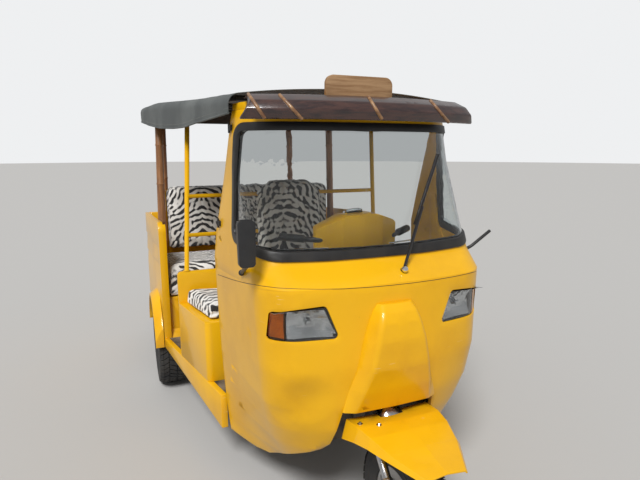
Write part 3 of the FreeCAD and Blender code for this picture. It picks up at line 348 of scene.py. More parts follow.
def make_paint(name, colour, aged, rough=0.3, dents=()):
    made, tree, shader = start_material(name, colour, rough, coat=0.22, coat_rough=0.05)
    shader.inputs["Specular IOR Level"].default_value = 0.25
    broad = use_group(tree, mottle_group, Scale=2.4).outputs["Value"]
    tone = blend_colour(tree, steps(tree, broad, 0.42, 0.72), (*colour, 1.0), (*aged, 1.0))
    specks = use_group(tree, mottle_group, Scale=90.0).outputs["Value"]
    tone = blend_colour(tree, maths(tree, "MULTIPLY", steps(tree, specks, 0.7, 0.76), 0.25), tone,
                        (0.2, 0.11, 0.02, 1.0))
    marks = use_group(tree, scratch_group, Amount=0.35).outputs["Mask"]
    tone = blend_colour(tree, marks, tone, (0.85, 0.72, 0.4, 1.0))
    dusty(tree, shader, tone, DUST, rough, 0.10, 0.16, 0.6)
    height = maths(tree, "MULTIPLY", use_group(tree, mottle_group, Scale=5.0).outputs["Value"], 0.0012)
    place = tree.nodes.new("ShaderNodeTexCoord").outputs["Object"]
    for centre, radius, depth in dents:
        height = maths(tree, "ADD", height, dent_height(tree, place, centre, radius, depth))
    bump(tree, shader, height, 0.8, 1.0)
    return made


yellow_paint = make_paint("yellow_paint", YELLOW, YELLOW_AGED)
dented_paint = make_paint("dented_paint", YELLOW, YELLOW_AGED, dents=DENTS)
print("paint", yellow_paint.name)

# %% [markdown]
# Metals, rubber and plastics. Chassis paint is satin black with brown dust, wheels are silver paint,
# and the fork legs are bare bright steel.

# %% Metal, rubber and plastic
def make_plain(name, colour, rough, grain_scale, grain_depth, metallic=0.0, coat=0.0, dust=0.35, low=0.1,
               high=0.7, dust_colour=DUST):
    made, tree, shader = start_material(name, colour, rough, metallic, coat)
    cloud = use_group(tree, mottle_group, Scale=14.0).outputs["Value"]
    darker = tuple(c * 0.72 for c in colour)
    tone = blend_colour(tree, steps(tree, cloud, 0.38, 0.68), (*colour, 1.0), (*darker, 1.0))
    dusty(tree, shader, tone, dust_colour, rough, dust, low, high)
    bump(tree, shader, use_group(tree, grain_group, Scale=grain_scale).outputs["Height"], 0.35, grain_depth)
    return made


chassis_paint = make_plain("chassis_paint", (0.022, 0.022, 0.024), 0.5, 260.0, 0.0006, dust=0.75)
cast_metal = make_plain("cast_metal", (0.2, 0.2, 0.205), 0.55, 420.0, 0.0012, metallic=0.8, dust=0.6)
bright_steel = make_plain("bright_steel", (0.62, 0.63, 0.65), 0.24, 700.0, 0.0002, metallic=1.0, dust=0.3)
dark_steel = make_plain("dark_steel", (0.16, 0.155, 0.15), 0.5, 500.0, 0.0006, metallic=0.8, dust=0.7)
wheel_paint = make_plain("wheel_paint", (0.47, 0.475, 0.48), 0.42, 600.0, 0.0003, metallic=0.35, coat=0.2,
                         dust=0.5, low=-0.1, high=0.8)
tyre_rubber = make_plain("tyre_rubber", (0.02, 0.02, 0.021), 0.72, 620.0, 0.0006, dust=0.55, low=-0.2,
                         high=0.8, dust_colour=(0.12, 0.105, 0.085, 1.0))
seal_rubber = make_plain("seal_rubber", (0.012, 0.012, 0.013), 0.42, 900.0, 0.0003, dust=0.12, low=0.0,
                         high=1.6)
black_plastic = make_plain("black_plastic", (0.016, 0.016, 0.017), 0.4, 1100.0, 0.0004, dust=0.1, low=0.0,
                           high=1.4)
chrome = make_plain("chrome", (0.78, 0.79, 0.8), 0.12, 900.0, 0.00005, metallic=1.0, dust=0.05)
reflector = make_plain("reflector", (0.52, 0.53, 0.54), 0.16, 500.0, 0.0002, metallic=1.0, dust=0.05)
mat_rubber = make_plain("mat_rubber", (0.025, 0.024, 0.024), 0.7, 300.0, 0.001, dust=0.8, low=0.2, high=0.9)
print("plain finishes made")


# %% [markdown]
# Glass keeps a plain full transmission. The windscreen has a faint smoke tint, the lamp lens is
# clear, and the orange and red lenses colour what shines through.

# %% Clear finishes
def make_clear(name, colour, rough=0.02, ior=1.45):
    made, tree, shader = start_material(name, colour, rough)
    shader.inputs["Transmission Weight"].default_value = 1.0
    shader.inputs["IOR"].default_value = ior
    smear = use_group(tree, mottle_group, Scale=7.0).outputs["Value"]
    join(tree, maths(tree, "MULTIPLY", steps(tree, smear, 0.5, 0.8), 0.12), shader.inputs["Roughness"])
    return made


screen_glass = make_clear("screen_glass", (0.86, 0.9, 0.9))
lens_clear = make_clear("lens_clear", (0.96, 0.97, 0.97))
lens_orange = make_clear("lens_orange", (1.0, 0.45, 0.05), 0.05)
lens_red = make_clear("lens_red", (0.85, 0.03, 0.02), 0.05)
print("clear finishes made")


# %% [markdown]
# Zebra plush. Animal stripes run along with one direction, bend, fork and pinch off. A Gabor
# texture does just that: it is noise made of short ripples that share a direction. Its value is cut
# at a soft threshold into black and white, a small noise roughens the boundary as pile does, and a
# sheen stands for the nap.

# %% Zebra cloth
ZEBRA_WHITE = (0.8, 0.78, 0.74, 1.0)
ZEBRA_BLACK = (0.012, 0.011, 0.012, 1.0)


def make_zebra(name, direction, ripples, spine, spread=0.62):
    """Stripes that meet in a V at the spine: the coordinate is mirrored about that line."""
    made, tree, shader = start_material(name, ZEBRA_WHITE[:3], 0.85, sheen=0.5)
    real_place = tree.nodes.new("ShaderNodeTexCoord").outputs["Object"]
    split = tree.nodes.new("ShaderNodeSeparateXYZ")
    join(tree, real_place, split.inputs[0])
    folded = tree.nodes.new("ShaderNodeCombineXYZ")
    beside = maths(tree, "SUBTRACT", split.outputs["X"], spine)
    join(tree, maths(tree, "ABSOLUTE", beside), folded.inputs["X"])
    join(tree, split.outputs["Y"], folded.inputs["Y"])
    join(tree, split.outputs["Z"], folded.inputs["Z"])
    place = folded.outputs[0]
    warp = tree.nodes.new("ShaderNodeTexNoise")
    warp.inputs["Scale"].default_value = 5.0
    warp.inputs["Detail"].default_value = 1.0
    join(tree, place, warp.inputs["Vector"])
    centred = tree.nodes.new("ShaderNodeVectorMath")
    centred.operation = "SUBTRACT"
    centred.inputs[1].default_value = (0.5, 0.5, 0.5)
    join(tree, warp.outputs["Color"], centred.inputs[0])
    bent = tree.nodes.new("ShaderNodeVectorMath")
    bent.operation = "MULTIPLY_ADD"
    bent.inputs[1].default_value = (0.07, 0.07, 0.07)
    join(tree, centred.outputs[0], bent.inputs[0])
    join(tree, place, bent.inputs[2])
    stripes = tree.nodes.new("ShaderNodeTexGabor")
    stripes.gabor_type = "3D"
    stripes.inputs["Scale"].default_value = ripples
    stripes.inputs["Frequency"].default_value = 2.4
    stripes.inputs["Anisotropy"].default_value = spread
    for socket in stripes.inputs:
        if socket.type == "VECTOR" and socket.name.startswith("Orientation"):
            socket.default_value = direction
    join(tree, bent.outputs[0], stripes.inputs["Vector"])
    pile = noise_at(tree, real_place, 420.0, 2.0)
    grit = maths(tree, "MULTIPLY", maths(tree, "SUBTRACT", pile, 0.5), 0.2)
    mask = steps(tree, maths(tree, "ADD", stripes.outputs[0], grit), 0.49, 0.55)
    shade = use_group(tree, mottle_group, Scale=6.0).outputs["Value"]
    white = blend_colour(tree, steps(tree, shade, 0.4, 0.75), ZEBRA_WHITE, (0.5, 0.46, 0.4, 1.0))
    join(tree, blend_colour(tree, mask, white, ZEBRA_BLACK), shader.inputs["Base Color"])
    bump(tree, shader, pile, 0.6, 0.0016)
    return made


# x of the line where the stripes of the bench and of the driver's back meet
BENCH_SPINE = -0.37
DRIVER_SPINE = -0.04
zebra_seat = make_zebra("zebra_seat", (0.4, 0.75, 0.4), 13.0, BENCH_SPINE)
zebra_back = make_zebra("zebra_back", (0.42, 0.1, 0.9), 13.0, BENCH_SPINE)
zebra_driver = make_zebra("zebra_driver", (0.42, 0.1, 0.9), 13.0, DRIVER_SPINE)
print("zebra", zebra_seat.name, zebra_back.name)


# %% [markdown]
# Coated canopy cloth is grey green with a fine grain in the coating, paler where it has rubbed and
# darker in small specks. Its inner side is a dark lining. Wood and cane are streaked along their
# length: a noise stretched along the grain gives both the colour and a little relief.

# %% Cloth and wood
def make_vinyl(name, colour, worn):
    made, tree, shader = start_material(name, colour, 0.6)
    cloud = use_group(tree, mottle_group, Scale=3.2).outputs["Value"]
    fine = use_group(tree, mottle_group, Scale=60.0).outputs["Value"]
    tone = blend_colour(tree, steps(tree, cloud, 0.4, 0.75), (*colour, 1.0), (*worn, 1.0))
    tone = blend_colour(tree, maths(tree, "MULTIPLY", steps(tree, fine, 0.55, 0.75), 0.4), tone,
                        (*[c * 0.6 for c in colour], 1.0))
    lined = tree.nodes.new("ShaderNodeAttribute")
    lined.attribute_name = "inner"
    tone = blend_colour(tree, lined.outputs["Fac"], tone, (0.05, 0.033, 0.024, 1.0))
    join(tree, tone, shader.inputs["Base Color"])
    bump(tree, shader, use_group(tree, grain_group, Scale=420.0).outputs["Height"], 0.4, 0.0012)
    return made


def make_wood(name, light, dark, stretch, rough, coat):
    made, tree, shader = start_material(name, light, rough, coat=coat)
    place = tree.nodes.new("ShaderNodeTexCoord").outputs["Object"]
    streaks = noise_at(tree, stretched(tree, place, stretch), 1.0, 6.0, 0.65)
    tone = blend_colour(tree, steps(tree, streaks, 0.35, 0.68), (*light, 1.0), (*dark, 1.0))
    stains = use_group(tree, mottle_group, Scale=9.0).outputs["Value"]
    tone = blend_colour(tree, maths(tree, "MULTIPLY", steps(tree, stains, 0.55, 0.8), 0.55), tone,
                        (*[c * 0.45 for c in dark], 1.0))
    join(tree, tone, shader.inputs["Base Color"])
    bump(tree, shader, streaks, 0.35, 0.0016)
    return made


canopy_vinyl = make_vinyl("canopy_vinyl", (0.075, 0.083, 0.082), (0.13, 0.14, 0.135))
cane_wood = make_wood("cane", (0.33, 0.15, 0.055), (0.17, 0.07, 0.028), (70.0, 70.0, 3.0), 0.45, 0.15)
sign_wood = make_wood("sign_wood", (0.38, 0.225, 0.11), (0.24, 0.125, 0.05), (6.0, 60.0, 90.0), 0.6, 0.05)
visor_wood = make_wood("visor_wood", (0.062, 0.026, 0.02), (0.018, 0.008, 0.009), (9.0, 40.0, 60.0), 0.22,
                       0.6)
slat_wood = make_wood("slat_wood", (0.36, 0.2, 0.09), (0.16, 0.07, 0.03), (40.0, 40.0, 40.0), 0.4, 0.2)
seam_dark = make_plain("seam_dark", (0.05, 0.018, 0.008), 0.6, 900.0, 0.0001, dust=0.1)
floor_mat = make_plain("floor_mat", (0.3, 0.17, 0.12), 0.85, 240.0, 0.001, dust=0.4, low=0.1, high=1.0)
dial_white = make_plain("dial_white", (0.8, 0.8, 0.78), 0.5, 900.0, 0.0001, dust=0.05)
mirror_glass = make_plain("mirror_glass", (0.85, 0.86, 0.87), 0.04, 900.0, 0.00001, metallic=1.0, dust=0.05)
print("cloth and wood made")


# %% [markdown]
# The rigid solids arrive as loose triangles. A pressed or moulded part has smooth faces and edges
# that catch a thin line of light, so each one is copied and welded. Where its row names an edge
# radius, it is cleared of needless edges and given a small bevel. Corners sharper than the limit
# stay crisp, and everything else shades smoothly. The copy then stands for the node, on the same
# body.

# %% Finished copies of the rigid solids
SMOOTH_DEG = 32.0
ROUND_SMOOTH_DEG = 50.0
FLAT_DEG = 0.06
PAIR_DEG = 8.0
LONGEST_EDGE = 0.05
LENGTH_PASSES = 3
node_body = {node: body for body, nodes in frame["record"]["behaviour"]["bodies"].items() for node in nodes}
node_slot = {row["node"]: row["material_slot"] for row in frame["record"]["subparts"]}


def set_smooth(data, degrees=SMOOTH_DEG):
    data.shade_smooth()
    data.set_sharp_from_angle(angle=math.radians(degrees))


def flatten_modifiers(obj):
    """Replaces an object's mesh by what its modifiers make of it."""
    bpy.context.view_layer.update()
    graph = bpy.context.evaluated_depsgraph_get()
    made = bpy.data.meshes.new_from_object(obj.evaluated_get(graph))
    obj.modifiers.clear()
    obj.data = made
    return obj


def welded(node, name):
    """Object with a merged copy of a CAD node's mesh."""
    source = frame["nodes"][node]
    work = bmesh.new()
    work.from_mesh(source.data)
    bmesh.ops.remove_doubles(work, verts=work.verts, dist=2e-5)
    data = bpy.data.meshes.new(name)
    work.to_mesh(data)
    work.free()
    data.materials.clear()
    obj = bpy.data.objects.new(name, data)
    bpy.context.scene.collection.objects.link(obj)
    return obj


def settle(obj, material, body, node=None, slot=None):
    """Gives a piece its material and its body, and hides the node that it stands for. The slot is looked up
    but not used.
    """
    obj.data.materials.clear()
    obj.data.materials.append(material)
    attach(obj, body)
    if node:
        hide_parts(node)
        slot = slot or node_slot[node]
    return obj


# big bent sheets, whose long narrow faces are cut shorter so that they shade evenly
FINE = ("front_panel", "windscreen_frame", "nose_fairing", "front_roof")


def cut_long_edges(obj, longest):
    """Splits the long edges, so that a bent sheet has points to bend its shading at."""
    work = bmesh.new()
    work.from_mesh(obj.data)
    for _ in range(LENGTH_PASSES):
        long_ones = [e for e in work.edges if e.calc_length() > longest]
        if not long_ones:
            break
        bmesh.ops.subdivide_edges(work, edges=long_ones, cuts=1, use_grid_fill=True)
        bmesh.ops.triangulate(work, faces=[f for f in work.faces if len(f.verts) > 4])
    work.to_mesh(obj.data)
    work.free()


def finished(node, material, name, edge):
    """Welded, bevelled and smoothed copy of a node. Pairs of triangles become quads before the bevel."""
    obj = welded(node, name)
    if edge > 0:
        work = bmesh.new()
        work.from_mesh(obj.data)
        bmesh.ops.dissolve_limit(work, angle_limit=math.radians(FLAT_DEG), verts=work.verts,
                                 edges=work.edges)
        bmesh.ops.join_triangles(work, faces=work.faces, angle_face_threshold=math.radians(PAIR_DEG),
                                 angle_shape_threshold=math.pi, cmp_seam=False)
        work.to_mesh(obj.data)
        work.free()
        soft = obj.modifiers.new("edge", "BEVEL")
        soft.width = edge
        soft.segments = 2
        soft.limit_method = "ANGLE"
        soft.angle_limit = math.radians(SMOOTH_DEG)
        soft.harden_normals = False
        flatten_modifiers(obj)
    if node in FINE:
        cut_long_edges(obj, LONGEST_EDGE)
    set_smooth(obj.data)
    return settle(obj, material, node_body[node], node)


dressed = [
    # node, material, piece, edge radius
    ("chassis_frame", chassis_paint, "chassis_rails", 0.002),
    ("floor_pan", mat_rubber, "floor_matting", 0.0),
    ("engine_block", cast_metal, "engine_casing", 0.004),
    ("rear_axle", chassis_paint, "rear_axle_case", 0.002),
    ("leaf_springs", dark_steel, "spring_leaves", 0.001),
    ("front_panel", dented_paint, "lower_cab_skin", 0.002),
    ("nose_fairing", yellow_paint, "nose_cover", 0.003),
    ("bulkhead", chassis_paint, "dash_and_bulkhead", 0.002),
    ("windscreen_frame", yellow_paint, "upper_cab_skin", 0.002),
    ("windscreen_seal", seal_rubber, "screen_seal", 0.003),
    ("windscreen_glass", screen_glass, "screen_pane", 0.0),
    ("front_roof", yellow_paint, "front_roof_skin", 0.003),
    ("sun_visor", visor_wood, "visor_shell", 0.001),
    ("roof_sign", sign_wood, "name_board", 0.003),
    ("sills", yellow_paint, "sill_skins", 0.003),
    ("driver_box", yellow_paint, "driver_box_skin", 0.004),
    ("partition", yellow_paint, "partition_panel", 0.003),
    ("guard_rails", yellow_paint, "partition_bars", 0.0),
    ("side_panels", yellow_paint, "side_wall_skins", 0.003),
    ("wheel_houses", yellow_paint, "wheel_house_skins", 0.002),
    ("bench_box", yellow_paint, "bench_box_skin", 0.003),
    ("back_board", yellow_paint, "back_board_panel", 0.002),
    ("rear_panel", yellow_paint, "tail_board", 0.003),
    ("bamboo_posts", cane_wood, "cane_posts", 0.0),
    ("roof_frame", chassis_paint, "roof_tubes", 0.0),
    ("mirrors", black_plastic, "mirror_shells", 0.002),
    ("wiper", black_plastic, "wiper_arm", 0.0),
    ("fork", bright_steel, "fork_legs", 0.0),
    ("front_guard", yellow_paint, "front_guard_skin", 0.001),
    ("handlebar", black_plastic, "bar_and_grips", 0.0),
    ("handlebar_cowl", yellow_paint, "bar_cowl", 0.006),
    ("rear_rim_right", wheel_paint, "rear_rim_right_disc", 0.001),
    ("rear_rim_left", wheel_paint, "rear_rim_left_disc", 0.001),
    ("front_rim", wheel_paint, "front_rim_disc", 0.001),
]
for node, material, piece, edge in dressed:
    made = finished(node, material, piece, edge)
    print(piece, len(made.data.polygons), "faces")

# %% [markdown]
# Details sit on the solids, so their places are found on the surface itself. A search tree over a
# node's faces answers a ray: from the side, from above, or from the eye through a pixel of the 640
# by 480 picture. That last one puts a bolt or a slat exactly where it shows, and still on the sheet.

# %% Places on a surface
PICTURE_WIDE = 640.0
PICTURE_HIGH = 480.0


def surface_of(node):
    data = frame["nodes"][node].data
    return BVHTree.FromPolygons([v.co for v in data.vertices], [list(p.vertices) for p in data.polygons])


def eye_ray(pixel):
    """Direction from the eye through a pixel of the picture."""
    focal = LENS_MM / SENSOR_MM * PICTURE_WIDE
    local = Vector(((pixel[0] - PICTURE_WIDE / 2) / focal, (PICTURE_HIGH / 2 - pixel[1]) / focal, -1.0))
    return (eye.rotation_euler.to_matrix() @ local).normalized()


def seen_at(tree, pixel):
    """Place and outward normal of what the eye meets at a pixel."""
    return tree.ray_cast(Vector(EYE), eye_ray(pixel))[:2]


SKIN_NODES = ("front_panel", "windscreen_frame", "sun_visor", "front_guard", "handlebar_cowl")
DENT_PX = (328.0, 384.0)
skins = {node: surface_of(node) for node in SKIN_NODES}
print("dent seen at", [round(c, 3) for c in seen_at(skins["front_panel"], DENT_PX)[0]])

# %% [markdown]
# Three small makers cover most fittings: a round bar along points, a turned profile, and a hexagon
# bolt. The bar carries a ring of points from place to place and turns it only as far as the path
# turns, which keeps it from twisting. Each returns a closed mesh at its final place.

# %% Bars, turned forms and bolts
def frame_on(direction):
    """Two unit vectors across a direction."""
    d = Vector(direction).normalized()
    side = d.cross(Vector((0.0, 0.0, 1.0)))
    if side.length < 1e-3:
        side = d.cross(Vector((1.0, 0.0, 0.0)))
    side.normalize()
    return side, side.cross(d)


def bar(name, points, radius, sides=12, flat=1.0):
    """Round bar through points. flat squeezes its height."""
    points = [Vector(p) for p in points]
    count = len(points)
    verts, faces = [], []
    side, rise = frame_on(points[1] - points[0])
    last = (points[1] - points[0]).normalized()
    for i, p in enumerate(points):
        along = (points[min(i + 1, count - 1)] - points[max(i - 1, 0)]).normalized()
        turn = last.rotation_difference(along)
        side, rise = turn @ side, turn @ rise
        last = along
        for k in range(sides):
            a = 2 * math.pi * k / sides
            verts.append(p + side * (radius * math.cos(a)) + rise * (radius * flat * math.sin(a)))
    for i in range(count - 1):
        for k in range(sides):
            a, b = i * sides + k, i * sides + (k + 1) % sides
            faces.append((a, b, b + sides, a + sides))
    faces.append(tuple(reversed(range(sides))))
    faces.append(tuple(range((count - 1) * sides, count * sides)))
    obj = plain_mesh(name, verts, faces)
    outward(obj)
    set_smooth(obj.data, ROUND_SMOOTH_DEG)
    return obj


def outward(obj):
    """Merges doubles and turns every face outwards."""
    work = bmesh.new()
    work.from_mesh(obj.data)
    bmesh.ops.remove_doubles(work, verts=work.verts, dist=1e-6)
    bmesh.ops.recalc_face_normals(work, faces=work.faces)
    work.to_mesh(obj.data)
    work.free()
    return obj


def turned(name, profile, centre, axis, segments=48):
    """Closed ring or disc: (height along the axis, radius) pairs turned about the axis."""
    centre, axis = Vector(centre), Vector(axis).normalized()
    side, rise = frame_on(axis)
    verts, faces = [], []
    rows = len(profile)
    for k in range(segments):
        a = 2 * math.pi * k / segments
        out = side * math.cos(a) + rise * math.sin(a)
        verts += [centre + axis * h + out * r for h, r in profile]
    for k in range(segments):
        m = (k + 1) % segments
        for i in range(rows - 1):
            faces.append((k * rows + i, m * rows + i, m * rows + i + 1, k * rows + i + 1))
    obj = plain_mesh(name, verts, faces)
    outward(obj)
    set_smooth(obj.data)
    return obj


def bolt(name, place, axis, across, high, washer=1.7):
    """Hexagon head on its washer, standing on a surface along the axis."""
    corner, rim = across * 0.5, across * 0.5 * washer
    head_form = [(0.0, 0.0), (0.0, corner), (high * 0.82, corner), (high, across * 0.4), (high, 0.0)]
    hexagon = turned(name + "_head", head_form, place, axis, 6)
    washer_form = [(-0.001, 0.0), (-0.001, rim), (high * 0.2, rim), (high * 0.25, across * 0.4),
                   (high * 0.25, 0.0)]
    ring = turned(name, washer_form, place, axis, 20)
    hexagon.data.shade_flat()
    return merged(name, [ring, hexagon])


def merged(name, objects):
    """One object from several, at the origin."""
    work = bmesh.new()
    for obj in objects:
        work.from_mesh(obj.data)
        bpy.data.objects.remove(obj)
    data = bpy.data.meshes.new(name)
    work.to_mesh(data)
    work.free()
    made = bpy.data.objects.new(name, data)
    bpy.context.scene.collection.objects.link(made)
    return made


def twin(obj):
    """Adds the mirror image across the vehicle's middle."""
    work = bmesh.new()
    work.from_mesh(obj.data)
    copied = bmesh.ops.duplicate(work, geom=work.verts[:] + work.edges[:] + work.faces[:])["geom"]
    for v in copied:
        if isinstance(v, bmesh.types.BMVert):
            v.co.x = -v.co.x
    faces = [f for f in copied if isinstance(f, bmesh.types.BMFace)]
    bmesh.ops.reverse_faces(work, faces=faces)
    work.to_mesh(obj.data)
    work.free()
    return obj


print("makers ready")

# %% [markdown]
# What repeats is made by Geometry Nodes. The first tree sets copies of one shape in a ring about an
# axis: tread blocks, wheel nuts, dial marks. The second sets small rounded beads along a path: the
# stitches of a hem. Both realize their instances and set the material at the end, and the modifier
# is then replaced by its plain mesh.

# %% Ring and bead trees
def new_geometry_tree(name, inputs):
    tree = bpy.data.node_groups.new(name, "GeometryNodeTree")
    tree.is_modifier = True
    tree.interface.new_socket("Geometry", in_out="INPUT", socket_type="NodeSocketGeometry")
    for socket_name, kind, default in inputs:
        socket = tree.interface.new_socket(socket_name, in_out="INPUT", socket_type=kind)
        if default is not None:
            socket.default_value = default
    tree.interface.new_socket("Geometry", in_out="OUTPUT", socket_type="NodeSocketGeometry")
    return tree, tree.nodes.new("NodeGroupInput"), tree.nodes.new("NodeGroupOutput")


def finish_tree(tree, inside, outside, copies):
    """Realize Instances and Set Material close a tree."""
    real = tree.nodes.new("GeometryNodeRealizeInstances")
    paint = tree.nodes.new("GeometryNodeSetMaterial")
    join(tree, copies, real.inputs[0])
    join(tree, real.outputs[0], paint.inputs["Geometry"])
    join(tree, inside.outputs["Material"], paint.inputs["Material"])
    join(tree, paint.outputs[0], outside.inputs[0])


def make_ring_tree():
    tree, inside, outside = new_geometry_tree("copies_in_a_ring", [
        ("Copies", "NodeSocketInt", 8), ("Centre", "NodeSocketVector", None),
        ("Axis", "NodeSocketVector", None), ("Material", "NodeSocketMaterial", None)])
    back = tree.nodes.new("ShaderNodeVectorMath")
    back.operation = "SCALE"
    back.inputs["Scale"].default_value = -1.0
    join(tree, inside.outputs["Centre"], back.inputs[0])
    local = tree.nodes.new("GeometryNodeTransform")
    join(tree, inside.outputs["Geometry"], local.inputs["Geometry"])
    join(tree, back.outputs[0], local.inputs["Translation"])
    points = tree.nodes.new("GeometryNodePoints")
    join(tree, inside.outputs["Copies"], points.inputs["Count"])
    join(tree, inside.outputs["Centre"], points.inputs["Position"])
    number = tree.nodes.new("GeometryNodeInputIndex").outputs[0]
    share = maths(tree, "DIVIDE", number, inside.outputs["Copies"])
    angle = maths(tree, "MULTIPLY", share, 2 * math.pi)
    turn = tree.nodes.new("FunctionNodeAxisAngleToRotation")
    join(tree, inside.outputs["Axis"], turn.inputs["Axis"])
    join(tree, angle, turn.inputs["Angle"])
    place = tree.nodes.new("GeometryNodeInstanceOnPoints")
    join(tree, points.outputs[0], place.inputs["Points"])
    join(tree, local.outputs[0], place.inputs["Instance"])
    join(tree, turn.outputs[0], place.inputs["Rotation"])
    finish_tree(tree, inside, outside, place.outputs[0])
    return tree


def make_bead_tree():
    tree, inside, outside = new_geometry_tree("beads_on_a_path", [
        ("Spacing", "NodeSocketFloat", 0.01), ("Width", "NodeSocketFloat", 0.001),
        ("Length", "NodeSocketFloat", 0.004), ("Material", "NodeSocketMaterial", None)])
    curve = tree.nodes.new("GeometryNodeMeshToCurve")
    join(tree, inside.outputs["Geometry"], curve.inputs["Mesh"])
    spots = tree.nodes.new("GeometryNodeCurveToPoints")
    spots.mode = "LENGTH"
    join(tree, curve.outputs[0], spots.inputs["Curve"])
    join(tree, inside.outputs["Spacing"], spots.inputs["Length"])
    bead = tree.nodes.new("GeometryNodeMeshUVSphere")
    bead.inputs["Segments"].default_value = 8
    bead.inputs["Rings"].default_value = 5
    bead.inputs["Radius"].default_value = 0.5
    size = tree.nodes.new("ShaderNodeCombineXYZ")
    for axis_name, socket_name in (("X", "Width"), ("Y", "Width"), ("Z", "Length")):
        join(tree, inside.outputs[socket_name], size.inputs[axis_name])
    place = tree.nodes.new("GeometryNodeInstanceOnPoints")
    join(tree, spots.outputs["Points"], place.inputs["Points"])
    join(tree, bead.outputs["Mesh"], place.inputs["Instance"])
    join(tree, spots.outputs["Rotation"], place.inputs["Rotation"])
    join(tree, size.outputs[0], place.inputs["Scale"])
    finish_tree(tree, inside, outside, place.outputs[0])
    return tree


def grow(obj, tree, **values):
    """Runs a tree on an object and keeps the plain mesh."""
    run = obj.modifiers.new("copies", "NODES")
    run.node_group = tree
    for item in tree.interface.items_tree:
        if item.in_out == "INPUT" and item.name in values:
            run[item.identifier] = values[item.name]
    return flatten_modifiers(obj)


ring_tree = make_ring_tree()
bead_tree = make_bead_tree()
print("trees:", ring_tree.name, bead_tree.name)

# %% [markdown]
# Tyres. The carcass is a turned profile with a raised rib on the wall, sunk below the tread. The
# tread is one set of five blocks, skewed as on a road tyre, that a ring repeats round the wheel.
# The blocks' tops lie on the solid tyre's radius, so the wheel still stands on the ground.

# %% Tyres
TREAD_DEPTH = 0.007
# how far a block's root reaches below the groove
ROOT_DEPTH = 0.006
BLOCK_CUTS = 3
TYRE_SEGMENTS = 96
TYRE_SMOOTH_DEG = 28.0
WHEEL_AXIS = (1.0, 0.0, 0.0)
BLOCKS_ROUND = 46
BLOCK_SHARE = 0.8


def wheel_facts(tyre_node):
    """Centre, radius and width of a solid tyre."""
    low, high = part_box(tyre_node)
    centre = Vector([(a + b) / 2 for a, b in zip(low, high)])
    return centre, (high[2] - low[2]) / 2, high[0] - low[0]


def carcass_profile(radius, width, bead):
    half = width / 2
    wall = radius - bead
    right = [(half * 0.66, bead + 0.001), (half * 0.8, bead + 0.004), (half * 0.84, bead + 0.012),
             (half * 0.93, bead + wall * 0.3), (half * 0.965, bead + wall * 0.42),
             (half * 0.985, bead + wall * 0.44), (half * 0.99, bead + wall * 0.5),
             (half * 0.975, bead + wall * 0.52), (half * 0.995, bead + wall * 0.62),
             (half * 0.97, radius - wall * 0.22), (half * 0.86, radius - TREAD_DEPTH - ROOT_DEPTH),
             (half * 0.6, radius - TREAD_DEPTH - 0.001)]
    return right + [(-x, r) for x, r in reversed(right)] + right[:1]


def tread_block(centre, radius, x0, x1, start, span, skew, drop):
    """One block between two widths: arc from start over span, shifted by skew across its width."""
    verts, faces = [], []
    for k in range(BLOCK_CUTS + 1):
        for x, lower, shift in ((x0, drop[0], 0.0), (x1, drop[1], skew)):
            a = start + shift + span * k / BLOCK_CUTS
            for r in (radius - TREAD_DEPTH - ROOT_DEPTH, radius - lower):
                verts.append((centre[0] + x, centre[1] + r * math.sin(a), centre[2] - r * math.cos(a)))
    for a in range(0, 4 * BLOCK_CUTS, 4):
        b = a + 4
        faces += [(a + 1, a + 3, b + 3, b + 1), (a, b, b + 2, a + 2)]
        faces += [(a, a + 1, b + 1, b), (a + 2, b + 2, b + 3, a + 3)]
    end = 4 * BLOCK_CUTS
    faces += [(0, 2, 3, 1), (end, end + 1, end + 3, end + 2)]
    return plain_mesh("block", verts, faces, smooth=False)


def make_tyre(node, bead_radius, name):
    centre, radius, width = wheel_facts(node)
    pitch = 2 * math.pi / BLOCKS_ROUND
    span = pitch * BLOCK_SHARE
    edge, mid = width * 0.485, width * 0.15
    rows = [
        # from, to, start, skew, drop of the top at each side
        (-mid + 0.004, mid - 0.004, pitch * 0.5, pitch * 0.5, (0.0, 0.0)),
        (mid + 0.003, edge - 0.022, 0.0, pitch * 0.45, (0.0, 0.001)),
        (edge - 0.02, edge, pitch * 0.45, pitch * 0.2, (0.001, 0.011)),
        (-edge + 0.022, -mid - 0.003, pitch * 0.45, -pitch * 0.45, (0.001, 0.0)),
        (-edge, -edge + 0.02, pitch * 0.65, -pitch * 0.2, (0.011, 0.001)),
    ]
    blocks = merged("blocks", [tread_block(centre, radius, x0, x1, a, span, skew, drop)
                               for x0, x1, a, skew, drop in rows])
    outward(blocks)
    grow(blocks, ring_tree, Copies=BLOCKS_ROUND, Centre=centre, Axis=WHEEL_AXIS, Material=tyre_rubber)
    body = turned("carcass", carcass_profile(radius, width, bead_radius), centre, WHEEL_AXIS, TYRE_SEGMENTS)
    tyre = merged(name, [body, blocks])
    set_smooth(tyre.data, TYRE_SMOOTH_DEG)
    return settle(tyre, tyre_rubber, node_body[node], node)


REAR_BEAD = 0.1805
FRONT_BEAD = 0.1505
for node, bead, piece in (("rear_tyre_right", REAR_BEAD, "rear_tyre_right_tread"),
                          ("rear_tyre_left", REAR_BEAD, "rear_tyre_left_tread"),
                          ("front_tyre", FRONT_BEAD, "front_tyre_tread")):
    tyre = make_tyre(node, bead, piece)
    print(piece, len(tyre.data.polygons), "faces")

# %% [markdown]
# The rear wheels get their nuts and a pressed hub cap. One nut is made at its place on the disc,
# and the ring repeats it about the wheel's own axis, so it turns with the wheel.

# %% Nuts and hub caps
NUT_RING = 0.062
NUT_ACROSS, NUT_HIGH, NUT_WASHER = 0.019, 0.013, 1.35
NUTS_ROUND = 4
